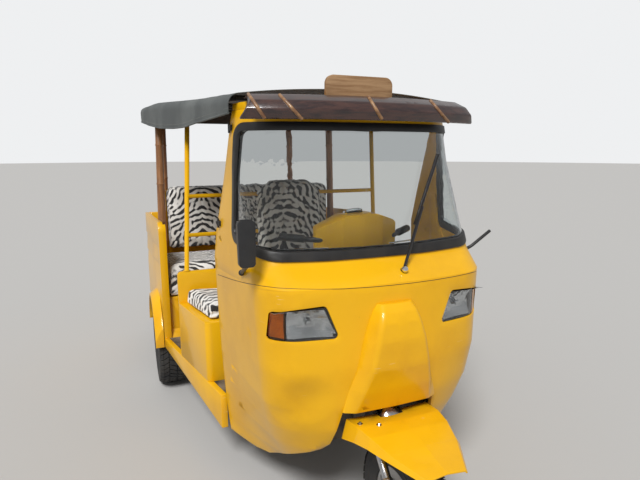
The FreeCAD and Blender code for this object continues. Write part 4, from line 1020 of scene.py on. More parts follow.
# (height, radius) of the cap, from its foot on the hub
CAP_FORM = [(0.0, 0.0), (0.0, 0.039), (0.012, 0.038), (0.018, 0.03), (0.021, 0.016), (0.0215, 0.0)]
CAP_SINK = 0.002
HUB_TEST_RADIUS = 0.02
FAR_OUT = 0.3
NUT_SMOOTH_DEG = 30.0


def dress_wheel(tyre_node, rim_node, out, name):
    """Nuts and cap on the outer side of a wheel. out is the side's sign."""
    centre = wheel_facts(tyre_node)[0]
    axis = Vector((out, 0.0, 0.0))
    disc = surface_of(rim_node)
    seat = disc.ray_cast(centre + axis * FAR_OUT + Vector((0.0, 0.0, NUT_RING)), -axis)[0]
    nut = bolt(name, seat, axis, NUT_ACROSS, NUT_HIGH, NUT_WASHER)
    grow(nut, ring_tree, Copies=NUTS_ROUND, Centre=centre, Axis=WHEEL_AXIS, Material=chrome)
    hub = disc.ray_cast(centre + axis * FAR_OUT + Vector((0.0, 0.0, HUB_TEST_RADIUS)), -axis)[0]
    foot = centre + axis * ((hub - centre).dot(axis) - CAP_SINK)
    cap = turned(name + "_cap", CAP_FORM, foot, axis, 40)
    made = merged(name, [nut, cap])
    set_smooth(made.data, NUT_SMOOTH_DEG)
    return settle(made, chrome, node_body[tyre_node], slot=node_slot["fork"])


for side, out in (("right", -1.0), ("left", 1.0)):
    nuts = dress_wheel("rear_tyre_" + side, "rear_rim_" + side, out, "rear_nuts_" + side)
    print(nuts.name, len(nuts.data.polygons), "faces")

# %% [markdown]
# A lamp is a clear lens over a bright bowl in a dark case. The solid's own front faces are the lens,
# thickened inwards. Its side and back faces are the case. The bowl between them is a coarse grid,
# bowed back and left with flat facets, so that it sparkles as a pressed reflector does.

# %% Lamps
LENS_THICK = 0.003
CASE_THICK = 0.0012
FRONT_FACING = -0.25
BOWL_INSET = 0.004
BOWL_BEHIND_LENS = 0.009
FACET_DEPTH = 0.0022
FACETS_PER_M = 90.0
# depth of a bowl and its facets across
HEAD_BOWL = (0.024, 13)
TURN_BOWL = (0.014, 5)
BULB_AT = (0.318, -1.175, 0.948)
BULB_SHADE = [(0.0, 0.0), (0.0, 0.008), (0.012, 0.011), (0.016, 0.009), (0.018, 0.0)]


def faces_kept(node, name, keep):
    """Copy of a node's mesh with only the faces that pass the test."""
    obj = welded(node, name)
    work = bmesh.new()
    work.from_mesh(obj.data)
    bmesh.ops.delete(work, geom=[f for f in work.faces if not keep(f)], context="FACES")
    work.to_mesh(obj.data)
    work.free()
    return obj


def thicken(obj, thick):
    """Gives an open sheet its thickness, on the inner side."""
    wall = obj.modifiers.new("wall", "SOLIDIFY")
    wall.thickness = thick
    wall.offset = -1.0
    wall.use_even_offset = True
    return flatten_modifiers(obj)


def lens_of(node, name, material):
    obj = faces_kept(node, name, lambda f: f.normal.y < FRONT_FACING)
    thicken(obj, LENS_THICK)
    set_smooth(obj.data)
    return settle(obj, material, BODY, node)


def case_of(node, name):
    obj = faces_kept(node, name, lambda f: f.normal.y >= FRONT_FACING)
    thicken(obj, CASE_THICK)
    set_smooth(obj.data)
    return settle(obj, black_plastic, BODY, slot=node_slot["windscreen_seal"])


# lamp outline from the front, in metres: x at the lower and upper end of each upright edge
LAMP_IN = (0.214, 0.262)
LAMP_SPLIT = 0.398
LAMP_OUT = (0.455, 0.447)
LAMP_LOW, LAMP_HIGH = 0.890, 1.000
# y of a dish's rim where the ray passes beside the lens
BESIDE_LENS_Y = -1.2
bowl_skin = {"headlamps": surface_of("headlamps"), "indicators": surface_of("indicators")}


def bowl(node, inner, outer, depth, across, up=9):
    """Faceted dish behind a lens. inner and outer are the x of its upright edges, low and high."""
    rows = []
    for j in range(up + 1):
        t = j / up
        x0 = inner[0] + (inner[1] - inner[0]) * t + BOWL_INSET
        x1 = outer[0] + (outer[1] - outer[0]) * t - BOWL_INSET
        z = LAMP_LOW + BOWL_INSET + (LAMP_HIGH - LAMP_LOW - 2 * BOWL_INSET) * t
        for i in range(across + 1):
            s = i / across
            x = x0 + (x1 - x0) * s
            front = bowl_skin[node].ray_cast(Vector((x, -2.0, z)), Vector((0, 1, 0)))[0]
            r = min(1.0, ((2 * s - 1) ** 2 + (2 * t - 1) ** 2) / 1.5)
            facet = noise.noise(Vector((x * FACETS_PER_M, z * FACETS_PER_M, 3.0))) * FACET_DEPTH
            y = front.y if front else BESIDE_LENS_Y
            rows.append((x, y + BOWL_BEHIND_LENS + depth * (1.0 - r) + facet, z))
    faces = []
    wide = across + 1
    for j in range(up):
        for i in range(across):
            a = j * wide + i
            faces.append((a, a + 1, a + wide + 1, a + wide))
    obj = plain_mesh("bowl", rows, faces, smooth=False)
    return thicken(obj, CASE_THICK)


def lamp_set():
    """Both headlamps' and both indicators' bowls, with a shade over each headlamp's bulb."""
    head = bowl("headlamps", LAMP_IN, (LAMP_SPLIT, LAMP_SPLIT), *HEAD_BOWL)
    turn = bowl("indicators", (LAMP_SPLIT, LAMP_SPLIT), LAMP_OUT, *TURN_BOWL)
    shade = turned("shade", BULB_SHADE, BULB_AT, (0.0, -1.0, 0.0), 20)
    made = twin(merged("lamp_bowls", [head, turn, shade]))
    return settle(made, reflector, BODY, slot=node_slot["headlamps"])


lens_of("headlamps", "headlamp_lenses", lens_clear)
lens_of("indicators", "indicator_lenses", lens_orange)
case_of("headlamps", "headlamp_cases")
case_of("indicators", "indicator_cases")
print("lamp bowls", len(lamp_set().data.polygons), "faces")

# %% [markdown]
# The tail lamps are red lenses over small bright dishes, so that they show red by daylight.

# %% Tail lamps
TAIL_LENS_THICK = 0.0025
DISH_GAP = 0.004
tail_low, tail_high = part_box("tail_lamps")
tail_radius = (tail_high[2] - tail_low[2]) / 2
tail_lens = faces_kept("tail_lamps", "tail_lenses", lambda f: f.normal.y > FRONT_FACING)
thicken(tail_lens, TAIL_LENS_THICK)
set_smooth(tail_lens.data)
settle(tail_lens, lens_red, BODY, "tail_lamps")
tail_centre = Vector((tail_high[0] - tail_radius, tail_low[1], tail_low[2] + tail_radius))
dish_radius = tail_radius - DISH_GAP
dish_form = [(0.0005, 0.0), (0.0005, dish_radius), (0.006, dish_radius), (0.005, dish_radius - 0.002),
             (0.002, 0.008), (0.006, 0.0)]
dish = turned("tail_dishes", dish_form, tail_centre, (0, 1, 0), 32)
settle(twin(dish), reflector, BODY, slot=node_slot["headlamps"])
print("tail lamp radius", round(tail_radius, 4))

# %% [markdown]
# Cushions are real padding. A copy of each solid cushion is shrunk a little and remeshed evenly.
# Its side next to the frame is pinned, gravity is off, and pressure swells it for twenty frames.
# The swelling is limited to eleven millimetres, applied as a plain mesh and smoothed once.

# %% Padding
SHRINK = 0.006
VOXEL = 0.011
PIN_DEPTH = 0.012
PRESSURE = 4.0
CLOTH_QUALITY, CLOTH_MASS = 4, 0.3
STRETCH_STIFFNESS, BEND_STIFFNESS = 30.0, 2.0
SWELL_LIMIT = 0.011
SIM_FRAMES = 20
# how fast and how deep each ripple of a cover runs
COVER_RIPPLES = [(17.0, 0.0016), (46.0, 0.0006)]
COVER_SINK = 0.0005
# how far a cover may pass the box of its cushion, below its low corner and above its high one
PAST_LOW, PAST_HIGH = 0.002, 0.004
# height of the welt as a share of the cushion, its width, its depth and its reach from the front
WELT_SHARE, WELT_WIDTH, WELT_DEPTH, WELT_REACH = 0.35, 0.006, 0.004, 0.03
CREASE_WIDTH, CREASE_DEPTH = 0.012, 0.006


def shrunk_copy(node, name):
    """Copy of a cushion, smaller on every side, and the corners of the cushion's own box."""
    obj = welded(node, name)
    data = obj.data
    work = bmesh.new()
    work.from_mesh(data)
    low = [min(v.co[i] for v in work.verts) for i in range(3)]
    high = [max(v.co[i] for v in work.verts) for i in range(3)]
    mid = [(a + b) / 2 for a, b in zip(low, high)]
    scale = [1.0 - 2 * SHRINK / (b - a) for a, b in zip(low, high)]
    for v in work.verts:
        v.co = [m + (c - m) * s for m, c, s in zip(mid, v.co, scale)]
    work.to_mesh(data)
    work.free()
    return obj, Vector(low), Vector(high)


def swell(obj):
    """Runs the cloth under pressure and keeps the swollen mesh."""
    rest = np.empty(len(obj.data.vertices) * 3)
    obj.data.vertices.foreach_get("co", rest)
    cloth = obj.modifiers.new("cloth", "CLOTH")
    cloth.settings.use_pressure = True
    cloth.settings.uniform_pressure_force = PRESSURE
    cloth.settings.vertex_group_mass = "pin"
    cloth.settings.pin_stiffness = 1.0
    cloth.settings.quality = CLOTH_QUALITY
    cloth.settings.mass = CLOTH_MASS
    cloth.settings.tension_stiffness = STRETCH_STIFFNESS
    cloth.settings.compression_stiffness = STRETCH_STIFFNESS
    cloth.settings.bending_stiffness = BEND_STIFFNESS
    cloth.settings.effector_weights.gravity = 0.0
    cloth.collision_settings.use_self_collision = False
    scene = bpy.context.scene
    for number in range(1, SIM_FRAMES + 1):
        scene.frame_set(number)
    graph = bpy.context.evaluated_depsgraph_get()
    blown = bpy.data.meshes.new_from_object(obj.evaluated_get(graph))
    obj.modifiers.clear()
    moved = np.empty(len(blown.vertices) * 3)
    blown.vertices.foreach_get("co", moved)
    step = (moved - rest).reshape(-1, 3)
    length = np.linalg.norm(step, axis=1, keepdims=True)
    step *= np.minimum(1.0, SWELL_LIMIT / np.maximum(length, 1e-9))
    obj.data.vertices.foreach_set("co", (rest.reshape(-1, 3) + step).ravel())
    obj.data.update()
    scene.frame_set(1)
    return float(length.max())


def padding(node, name, material, pinned, groove):
    """Padded cover for a cushion. pinned tests a point, and groove gives a depth at a point."""
    obj, low, high = shrunk_copy(node, name)
    even = obj.modifiers.new("even", "REMESH")
    even.mode = "VOXEL"
    even.voxel_size = VOXEL
    even.use_smooth_shade = True
    flatten_modifiers(obj)
    group = obj.vertex_groups.new(name="pin")
    group.add([v.index for v in obj.data.vertices if pinned(v.co, low, high)], 1.0, "REPLACE")
    most = swell(obj)
    finer = obj.modifiers.new("finer", "SUBSURF")
    finer.levels = finer.render_levels = 1
    flatten_modifiers(obj)
    obj.vertex_groups.clear()
    count = len(obj.data.vertices)
    places, normals = np.empty(count * 3), np.empty(count * 3)
    obj.data.vertices.foreach_get("co", places)
    obj.data.vertices.foreach_get("normal", normals)
    places, normals = places.reshape(-1, 3), normals.reshape(-1, 3)
    drops = []
    for place in places:
        p = Vector(place)
        ripple = sum(noise.noise(p * scale) * depth for scale, depth in COVER_RIPPLES)
        drops.append(groove(p, low, high) + COVER_SINK - ripple)
    places = places - normals * np.array(drops)[:, None]
    places = np.clip(places, np.array(low) - PAST_LOW, np.array(high) + PAST_HIGH)
    obj.data.vertices.foreach_set("co", places.ravel())
    obj.data.update()
    obj.data.shade_smooth()
    settle(obj, material, BODY, node)
    print(name, len(obj.data.vertices), "points, swollen by up to", round(most, 4), "m before the limit")


def soft_groove(distance, width, depth):
    """Depth of a soft groove at a distance from its centre line."""
    return depth * math.exp(-(distance / width) ** 2)


def front_welt(p, low, high):
    """Welt line across the front of a seat."""
    height = low.z + WELT_SHARE * (high.z - low.z)
    return soft_groove(p.z - height, WELT_WIDTH, WELT_DEPTH) if p.y < low.y + WELT_REACH else 0.0


def spine_crease(spine):
    """Crease along a spine, over the front half of a cushion."""
    def depth_at(p, low, high):
        front = p.y < (low.y + high.y) / 2
        return soft_groove(p.x - spine, CREASE_WIDTH, CREASE_DEPTH) if front else 0.0
    return depth_at


def at_bottom(p, low, high):
    """True where a seat lies on its box."""
    return p.z < low.z + PIN_DEPTH


def at_back(p, low, high):
    """True where a backrest leans on its board."""
    return p.y > high.y - PIN_DEPTH


COVERS = [("driver_cushion", zebra_seat, at_bottom, front_welt),
          ("driver_backrest", zebra_driver, at_back, spine_crease(DRIVER_SPINE)),
          ("bench_cushion", zebra_seat, at_bottom, spine_crease(BENCH_SPINE)),
          ("bench_backrest", zebra_back, at_back, spine_crease(BENCH_SPINE))]
for cushion, cover_material, pinned_side, cover_groove in COVERS:
    padding(cushion, cushion + "_cover", cover_material, pinned_side, cover_groove)

# %% [markdown]
# The canopy is one continuous sheet over the roof tubes. It is drawn as four cross sections, each a
# low arch with rounded shoulders and a short flap at each side, and the length between them is a
# smooth curve. Between the tubes the cloth sags a little, and it ripples along the hems. The hem
# itself is a rolled bead with stitches, made as pieces that go with the sheet.

# %% Canopy sheet
# y, half width, lower edge, shoulder height, crown height
CANOPY_ROWS = [(-0.838, 0.505, 1.690, 1.762, 1.792), (0.0065, 0.606, 1.664, 1.800, 1.836),
               (0.685, 0.668, 1.698, 1.842, 1.884), (1.625, 0.700, 1.770, 1.880, 1.926)]
SHOULDER_RADIUS = 0.046
SHOULDER_DEG = 82.0
FLAP_STEPS, SHOULDER_STEPS, ARCH_STEPS = 8, 8, 22
CLOTH_THICK = 0.0024
CLOTH_SMOOTH_DEG = 60.0
SAG = 0.007
# share of the sag at the shoulders, and how fast it grows towards the middle
SAG_EDGE, SAG_GROWTH = 0.25, 1.6
HEM_RIPPLE = 0.0035
HEM_WAVE, HEM_HANG = 0.004, 0.002
TOP_RIPPLE = 0.0012


def canopy_row(y):
    """Cross section values at a length, smooth between the rows."""
    spots = [r[0] for r in CANOPY_ROWS]
    for i in range(len(spots) - 1):
        if y <= spots[i + 1] or i == len(spots) - 2:
            break
    t = (y - spots[i]) / (spots[i + 1] - spots[i])
    before = CANOPY_ROWS[max(0, i - 1)]
    a, b = CANOPY_ROWS[i], CANOPY_ROWS[i + 1]
    after = CANOPY_ROWS[min(len(spots) - 1, i + 2)]
    values = []
    for k in range(1, 5):
        ga = (b[k] - before[k]) / (b[0] - before[0]) * (b[0] - a[0])
        gb = (after[k] - a[k]) / (after[0] - a[0]) * (b[0] - a[0])
        values.append(a[k] * (2 * t ** 3 - 3 * t * t + 1) + ga * (t ** 3 - 2 * t * t + t) +
                      b[k] * (3 * t * t - 2 * t ** 3) + gb * (t ** 3 - t * t))
    return values


def canopy_section(y):
    """Points of one cross section, from the right hem over the crown to the left hem."""
    half, low, shoulder, crown = canopy_row(y)
    radius = SHOULDER_RADIUS
    line = []
    for k in range(FLAP_STEPS + 1):
        t = k / FLAP_STEPS
        line.append((-half, low + (shoulder - radius - low) * t))
    for k in range(1, SHOULDER_STEPS + 1):
        a = math.pi - k / SHOULDER_STEPS * math.radians(SHOULDER_DEG)
        line.append((-half + radius + radius * math.cos(a), shoulder - radius + radius * math.sin(a)))
    top_x, top_z = line[-1]
    for k in range(1, ARCH_STEPS + 1):
        t = k / ARCH_STEPS
        x = top_x * (1.0 - t)
        line.append((x, top_z + (crown - top_z) * (1.0 - (1.0 - t) ** 2)))
    return line + [(-x, z) for x, z in reversed(line[:-1])]


print("sections at y =", [row[0] for row in CANOPY_ROWS])

# %% [markdown]
# The grid of the sheet runs from the front to the rear, rounds over the rear edge, and closes with
# the rear flap. Then the cloth gets its thickness, and the inner side is marked in an
# attribute that the material reads for the darker lining.

# %% Hang the canopy
ROUND_OVER = 0.034
# how much of the rounding lowers the cloth, and how soon it draws the sides in
ROUND_SINK, ROUND_DRAW = 0.75, 1.2
LENGTH_ROWS, ROUND_ROWS = 118, 6
REAR_RIPPLE = 0.003
FRONT_Y, REAR_Y = CANOPY_ROWS[0][0], CANOPY_ROWS[-1][0]
tube_line = [FRONT_Y + 0.012] + [row[0] for row in CANOPY_ROWS[1:-1]] + [REAR_Y - 0.030]
# a place on the crown, where the outer side looks up
CROWN_SPOT = Vector((0.0, 0.4, 1.85))
HEM_RADIUS, HEM_DROP = 0.0045, 0.002
# how far the stitches lie above the edge and outside the cloth
STITCH_LIFT, STITCH_OUT = 0.016, 0.0004
STITCH_STEP, STITCH_WIDE, STITCH_LONG = 0.009, 0.0014, 0.0055
# the part of the hem this near to the rear end faces backwards
REAR_BAND = 0.02


def sag_at(y):
    """0 over a tube, 1 halfway between two tubes."""
    for a, b in zip(tube_line, tube_line[1:]):
        if a <= y <= b:
            return math.sin(math.pi * (y - a) / (b - a)) ** 2
    return 0.0


def wave(x, y, z):
    """Smooth noise. A factor on a place says how fast it runs, a plain number where it starts."""
    return noise.noise(Vector((x, y, z)))


def canopy_points(y, inset=0.0):
    """One cross section with its sag and ripples, drawn in by the inset at the rear edge."""
    length = min(y, REAR_Y)
    half, low, shoulder = canopy_row(length)[:3]
    bend = shoulder - SHOULDER_RADIUS
    made = []
    for x, z in canopy_section(length):
        flap = max(0.0, min(1.0, (bend - z) / (bend - low)))
        side = 1.0 if x > 0 else -1.0
        if flap > 0.0:
            loose = wave(side * 3.0, y * 6.0, 0.4) + 0.4 * wave(side, y * 19.0, 1.7)
            x += side * loose * HEM_RIPPLE * flap
            z += HEM_WAVE * flap * wave(side * 7.0, y * 3.0, 9.0) - HEM_HANG * flap
        else:
            middle = max(0.0, 1.0 - abs(x) / half)
            sink = sag_at(y) * SAG * min(1.0, SAG_EDGE + SAG_GROWTH * middle)
            z -= sink + TOP_RIPPLE * wave(x * 5.0, y * 14.0, 2.0)
        x -= side * inset * min(1.0, abs(x) / half * ROUND_DRAW)
        z -= inset * ROUND_SINK * (1.0 - flap)
        made.append((x, y, z))
    return made


def canopy_grid():
    """Vertices and faces of the sheet, its hem line and its cross sections."""
    rows = [canopy_points(float(y)) for y in np.linspace(FRONT_Y, REAR_Y - ROUND_OVER, LENGTH_ROWS)]
    for k in range(1, ROUND_ROWS + 1):
        a = math.radians(90.0 / ROUND_ROWS * k)
        y = REAR_Y - ROUND_OVER + ROUND_OVER * math.sin(a)
        rows.append(canopy_points(y, ROUND_OVER * (1.0 - math.cos(a))))
    verts = [p for row in rows for p in row]
    wide = len(rows[0])
    faces = []
    for j in range(len(rows) - 1):
        for i in range(wide - 1):
            a = j * wide + i
            faces.append((a, a + wide, a + wide + 1, a + 1))
    # rear flap: the last columns of the side flaps are its two upright edges
    levels = FLAP_STEPS
    last = (len(rows) - 1) * wide
    low = min(verts[last][2], verts[last + wide - 1][2])
    grid = [[last + levels - k for k in range(levels + 1)]]
    for i in range(levels + 1, wide - 1 - levels):
        x, y, z = verts[last + i]
        line = [last + i]
        for k in range(1, levels + 1):
            t = k / levels
            ripple = REAR_RIPPLE * math.sin(t * 3.0) * wave(x * 5.0, 3.0, t)
            verts.append((x, y + ripple, z + (low - z) * t))
            line.append(len(verts) - 1)
        grid.append(line)
    grid.append([last + wide - 1 - levels + k for k in range(levels + 1)])
    for a, b in zip(grid, grid[1:]):
        for k in range(levels):
            faces.append((a[k], a[k + 1], b[k + 1], b[k]))
    hem = [row[0] for row in rows]
    hem += [verts[line[-1]] for line in grid[1:-1]]
    hem += [row[-1] for row in reversed(rows)]
    return verts, faces, hem, rows


def stitch_row(name, line):
    """Stitches along the hem, set just outside the cloth."""
    points = []
    for x, y, z in line:
        side = Vector((x, 0.0, 0.0)).normalized() if y < REAR_Y - REAR_BAND else Vector((0.0, 1.0, 0.0))
        points.append(Vector((x, y, z + STITCH_LIFT)) + side * STITCH_OUT)
    data = bpy.data.meshes.new(name)
    data.from_pydata([tuple(p) for p in points], [(i, i + 1) for i in range(len(points) - 1)], [])
    obj = bpy.data.objects.new(name, data)
    bpy.context.scene.collection.objects.link(obj)
    return grow(obj, bead_tree, Spacing=STITCH_STEP, Width=STITCH_WIDE, Length=STITCH_LONG,
                Material=thread)


verts, faces, hem_line, section_rows = canopy_grid()
cloth = plain_mesh("canopy_cover", verts, faces)
work = bmesh.new()
work.from_mesh(cloth.data)
bmesh.ops.recalc_face_normals(work, faces=work.faces)
middle_face = min(work.faces, key=lambda f: (f.calc_center_median() - CROWN_SPOT).length)
if middle_face.normal.z < 0:
    bmesh.ops.reverse_faces(work, faces=work.faces)
work.to_mesh(cloth.data)
work.free()
outer_faces = len(cloth.data.polygons)
thicken(cloth, CLOTH_THICK)
inner = cloth.data.attributes.new("inner", "FLOAT", "FACE")
inner.data.foreach_set("value", [1.0 if outer_faces <= i < 2 * outer_faces else 0.0
                                 for i in range(len(cloth.data.polygons))])
set_smooth(cloth.data, CLOTH_SMOOTH_DEG)
settle(cloth, canopy_vinyl, BODY, "canopy")

hem_roll = bar("canopy_hem", [(x, y, z - HEM_DROP) for x, y, z in hem_line[::2]], HEM_RADIUS, 10)
settle(hem_roll, canopy_vinyl, BODY, slot=node_slot["canopy"])
thread = make_plain("thread", (0.35, 0.34, 0.31), 0.8, 900.0, 0.0002, dust=0.1)
stitches = stitch_row("canopy_stitches", hem_line)
settle(stitches, thread, BODY, slot=node_slot["canopy"])
print("canopy", len(cloth.data.polygons), "faces, stitches", len(stitches.data.polygons))

# %% [markdown]
# The visor is lacquered dark, with four pale slats laid across it. Each slat is a round bar, half
# sunk in the visor's skin. Its ends are two pixels of the picture, and the eye's ray finds the
# places on the visor from one to the other.

# %% Visor slats
VISOR_SLATS_PX = [((247.0, 92.0), (266.0, 120.0)), ((276.0, 91.0), (302.0, 119.0)),
                  ((366.0, 93.0), (383.0, 121.0)), ((429.0, 99.0), (450.0, 124.0))]
SLAT_POINTS = 15
SLAT_RADIUS = 0.0065


def between(start, end, share):
    """Pixel at a share of the way from one pixel to another."""
    return (start[0] + (end[0] - start[0]) * share, start[1] + (end[1] - start[1]) * share)


slats = []
for start, end in VISOR_SLATS_PX:
    pixels = [between(start, end, k / (SLAT_POINTS - 1)) for k in range(SLAT_POINTS)]
    places = [seen_at(skins["sun_visor"], pixel)[0] for pixel in pixels]
    slats.append(bar("slat", [place for place in places if place is not None], SLAT_RADIUS, 10))
slat_set = merged("visor_slats", slats)
settle(slat_set, slat_wood, BODY, slot=node_slot["sun_visor"])
print("slats", len(slats))

# %% [markdown]
# Bolts and the wiper's cap nut are put where the picture shows them. The mudguard's bolts turn with
# the steering, so they ride on that body.

# %% Bolts and nuts
GUARD_BOLTS_PX = [(360.0, 424.0), (379.0, 425.0)]
BOLT_ACROSS = 0.012
WIPER_NUT_AT = (0.066, -1.196, 1.108)
WIPER_NUT_AXIS = (0.1, -0.75, 0.55)
# distance along the axis and radius there
WIPER_NUT_FORM = [(0.0, 0.0), (0.0, 0.013), (0.006, 0.0125), (0.011, 0.009), (0.013, 0.0)]

bolts = []
for pixel in GUARD_BOLTS_PX:
    place, normal = seen_at(skins["front_guard"], pixel)
    bolts.append(bolt("bolt", place, normal, BOLT_ACROSS, BOLT_ACROSS * 0.6))
guard_bolts = merged("guard_bolts", bolts)
settle(guard_bolts, bright_steel, STEERING, slot=node_slot["fork"])
wiper_nut = turned("wiper_nut", WIPER_NUT_FORM, WIPER_NUT_AT, WIPER_NUT_AXIS, 28)
settle(wiper_nut, chrome, BODY, slot=node_slot["headlamps"])
print("bolts", len(guard_bolts.data.polygons), "faces")

# %% [markdown]
# Instruments and controls. The dial stands on the cowl with a chrome rim and plain ticks that a ring
# repeats. The levers are flat chrome bars bent forward of the grips. All of them turn with the bar.

# %% Dial and levers
BAR_AXIS = Vector((0.0, 0.378, 0.926))
DIAL_RADIUS = 0.043
DIAL_RIM = 0.004
RIM_TOP, RIM_SLOPE = 0.006, 0.002
DIAL_BEHIND = 0.02
FACE_TOP = 0.0015
# ticks: how many, how high above the dial's place, how far in from its edge, and how thick
TICK_COUNT, TICK_HEIGHT, TICK_FROM, TICK_TO, TICK_RADIUS = 24, 0.0018, 0.013, 0.007, 0.0008
NEEDLE_HEIGHT, NEEDLE_LONG, NEEDLE_RADIUS = 0.0024, 0.022, 0.0009
# points of the lever on the driver's left, from its pivot outwards, in metres
LEVER = [(0.110, -0.940, 1.158), (0.150, -0.945, 1.160), (0.240, -0.905, 1.155), (0.290, -0.885, 1.153)]
LEVER_RADIUS, LEVER_FLAT = 0.0055, 0.6


def dial():
    """Dial on top of the cowl. Gives the place where it stands."""
    low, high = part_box("handlebar_cowl")
    start = Vector((0.0, (low[1] + high[1]) / 2 + DIAL_BEHIND, (low[2] + high[2]) / 2))
    top = skins["handlebar_cowl"].ray_cast(start + BAR_AXIS * 0.4, -BAR_AXIS)[0]
    place = top + BAR_AXIS * DIAL_RIM
    inside = DIAL_RADIUS - DIAL_RIM
    rim_form = [(-DIAL_RIM, inside), (-DIAL_RIM, DIAL_RADIUS), (DIAL_RIM, DIAL_RADIUS),
                (RIM_TOP, DIAL_RADIUS - RIM_SLOPE), (DIAL_RIM, inside), (-DIAL_RIM, inside)]
    rim = turned("dial_rim", rim_form, place, BAR_AXIS)
    settle(rim, chrome, STEERING, slot=node_slot["headlamps"])
    face_form = [(-DIAL_RIM, 0.0), (-DIAL_RIM, inside), (FACE_TOP, inside), (FACE_TOP, 0.0)]
    face = turned("dial_face", face_form, place, BAR_AXIS)
    settle(face, black_plastic, STEERING, slot=node_slot["handlebar"])
    side, rise = frame_on(BAR_AXIS)
    tick_place, needle_place = place + BAR_AXIS * TICK_HEIGHT, place + BAR_AXIS * NEEDLE_HEIGHT
    tick = bar("dial_ticks", [tick_place + side * (DIAL_RADIUS - TICK_FROM),
                              tick_place + side * (DIAL_RADIUS - TICK_TO)], TICK_RADIUS, 6)
    grow(tick, ring_tree, Copies=TICK_COUNT, Centre=place, Axis=BAR_AXIS, Material=dial_white)
    needle_end = needle_place + (side * 0.6 - rise) * NEEDLE_LONG
    needle = bar("needle", [needle_place, needle_end], NEEDLE_RADIUS, 6)
    marks = merged("dial_ticks", [tick, needle])
    settle(marks, dial_white, STEERING, slot=node_slot["handlebar"])
    return place


dial_place = dial()
lever = twin(bar("hand_levers", LEVER, LEVER_RADIUS, 10, flat=LEVER_FLAT))
settle(lever, chrome, STEERING, slot=node_slot["fork"])
print("dial at", [round(c, 3) for c in dial_place])

# %% [markdown]
# The rest of the trim: two hinge clips with their pins on the door pillar and their mirror twins,
# the glass of the mirror, and the dark seam where the upper and the lower skin of the cab meet.

# %% Trim
HINGE_CLIPS_PX = [(231.0, 128.0), (220.0, 223.0)]
CLIP_SIZE, CLIP_OUT = (0.014, 0.034, 0.022), 0.003
PIN_OUT, PIN_RADIUS = 0.008, 0.005
PIN_HALF = Vector((0.0, 0.0, 0.02))
MIRROR_PANE_AT, MIRROR_PANE_SIZE = (-0.520, -1.1115, 1.238), (0.050, 0.003, 0.150)
# the seam is a thin dark line in the picture
SEAM_PX = [(218.0, 274.6), (232.0, 279.5), (245.0, 283.0), (262.0, 286.0), (278.0, 288.0), (300.0, 289.0),
           (320.0, 289.3), (345.0, 288.8), (370.0, 287.2), (392.0, 285.2), (412.0, 283.0), (434.0, 280.0),
           (454.0, 276.6), (468.0, 273.6), (478.0, 270.8)]
SEAM_STEPS = 5
SEAM_RADIUS = 0.0011


def block(name, centre, size):
    """Small box with softened edges."""
    work = bmesh.new()
    bmesh.ops.create_cube(work, size=1.0)
    bmesh.ops.scale(work, vec=size, verts=work.verts)
    bmesh.ops.bevel(work, geom=work.edges[:], offset=min(size) * 0.2, segments=2, affect="EDGES",
                    profile=0.5)
    bmesh.ops.translate(work, vec=centre, verts=work.verts)
    data = bpy.data.meshes.new(name)
    work.to_mesh(data)
    work.free()
    obj = bpy.data.objects.new(name, data)
    bpy.context.scene.collection.objects.link(obj)
    return obj


clips = []
for pixel in HINGE_CLIPS_PX:
    place, normal = seen_at(skins["windscreen_frame"], pixel)
    clips.append(block("clip", place + normal * CLIP_OUT, CLIP_SIZE))
    middle = place + normal * PIN_OUT
    clips.append(bar("pin", [middle - PIN_HALF, middle + PIN_HALF], PIN_RADIUS, 12))
clip_set = twin(merged("door_clips", clips))
settle(clip_set, black_plastic, BODY, slot=node_slot["windscreen_seal"])

mirror_pane = block("mirror_pane", MIRROR_PANE_AT, MIRROR_PANE_SIZE)
settle(mirror_pane, mirror_glass, BODY, slot=node_slot["headlamps"])
print("clips", len(clips))

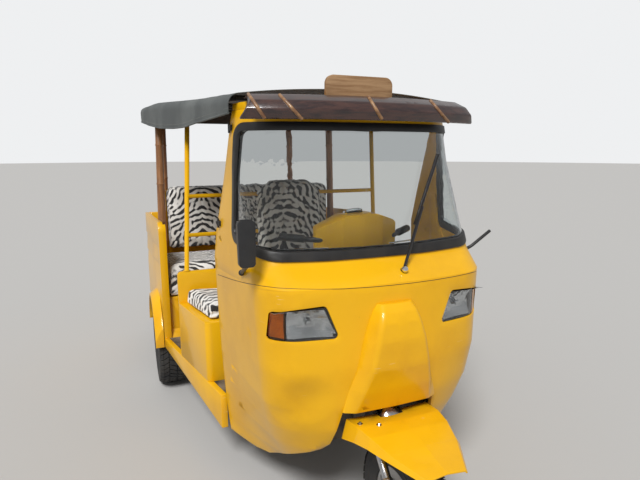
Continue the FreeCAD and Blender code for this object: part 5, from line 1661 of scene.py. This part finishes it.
seam_points = []
for start, end in zip(SEAM_PX, SEAM_PX[1:]):
    for k in range(SEAM_STEPS):
        pixel = between(start, end, k / SEAM_STEPS)
        hits = [seen_at(skins[name], pixel)[0] for name in ("front_panel", "windscreen_frame")]
        seam_points.append(min((hit for hit in hits if hit is not None),
                               key=lambda hit: (hit - Vector(EYE)).length))
seam = bar("cab_seam", seam_points, SEAM_RADIUS, 6)
settle(seam, seam_dark, BODY, slot=node_slot["windscreen_seal"])
print("seam points", len(seam_points))

# %% [markdown]
# The two foot wells have thin mats. Each is a grid dropped on to the floor, given its thickness, and
# left with a trace of unevenness.

# %% Mats
MAT_THICK = 0.006
MAT_ACROSS, MAT_ALONG = 7, 9
MAT_WAVE, MAT_WAVE_SCALE = 0.001, 9
MAT_SMOOTH_DEG = 40.0
ABOVE_FLOOR = 0.62
# right, left, front and rear edge
MAT_PLACES = {"driver_mat": (-0.42, 0.42, -0.78, -0.41), "passenger_mat": (-0.50, 0.50, 0.035, 0.310)}
floor_skin = surface_of("floor_pan")


def mat(name, x0, x1, y0, y1):
    """Thin mat on the floor. A place over a gap in the floor takes the lowest height found."""
    top = []
    for j in range(MAT_ALONG):
        for i in range(MAT_ACROSS):
            x, y = x0 + (x1 - x0) * i / (MAT_ACROSS - 1), y0 + (y1 - y0) * j / (MAT_ALONG - 1)
            hit = floor_skin.ray_cast(Vector((x, y, ABOVE_FLOOR)), Vector((0, 0, -1)))[0]
            top.append([x, y, None if hit is None else hit.z])
    lowest = min(p[2] for p in top if p[2] is not None)
    for p in top:
        floor = lowest if p[2] is None else p[2]
        p[2] = floor + MAT_THICK + wave(p[0] * MAT_WAVE_SCALE, p[1] * MAT_WAVE_SCALE, 0) * MAT_WAVE
    faces = []
    for j in range(MAT_ALONG - 1):
        for i in range(MAT_ACROSS - 1):
            a = j * MAT_ACROSS + i
            faces.append((a, a + 1, a + MAT_ACROSS + 1, a + MAT_ACROSS))
    obj = plain_mesh(name, top, faces)
    thicken(obj, MAT_THICK)
    set_smooth(obj.data, MAT_SMOOTH_DEG)
    settle(obj, floor_mat, BODY, slot=node_slot["floor_pan"])


for name, edges in MAT_PLACES.items():
    mat(name, *edges)
print("mats", list(MAT_PLACES))
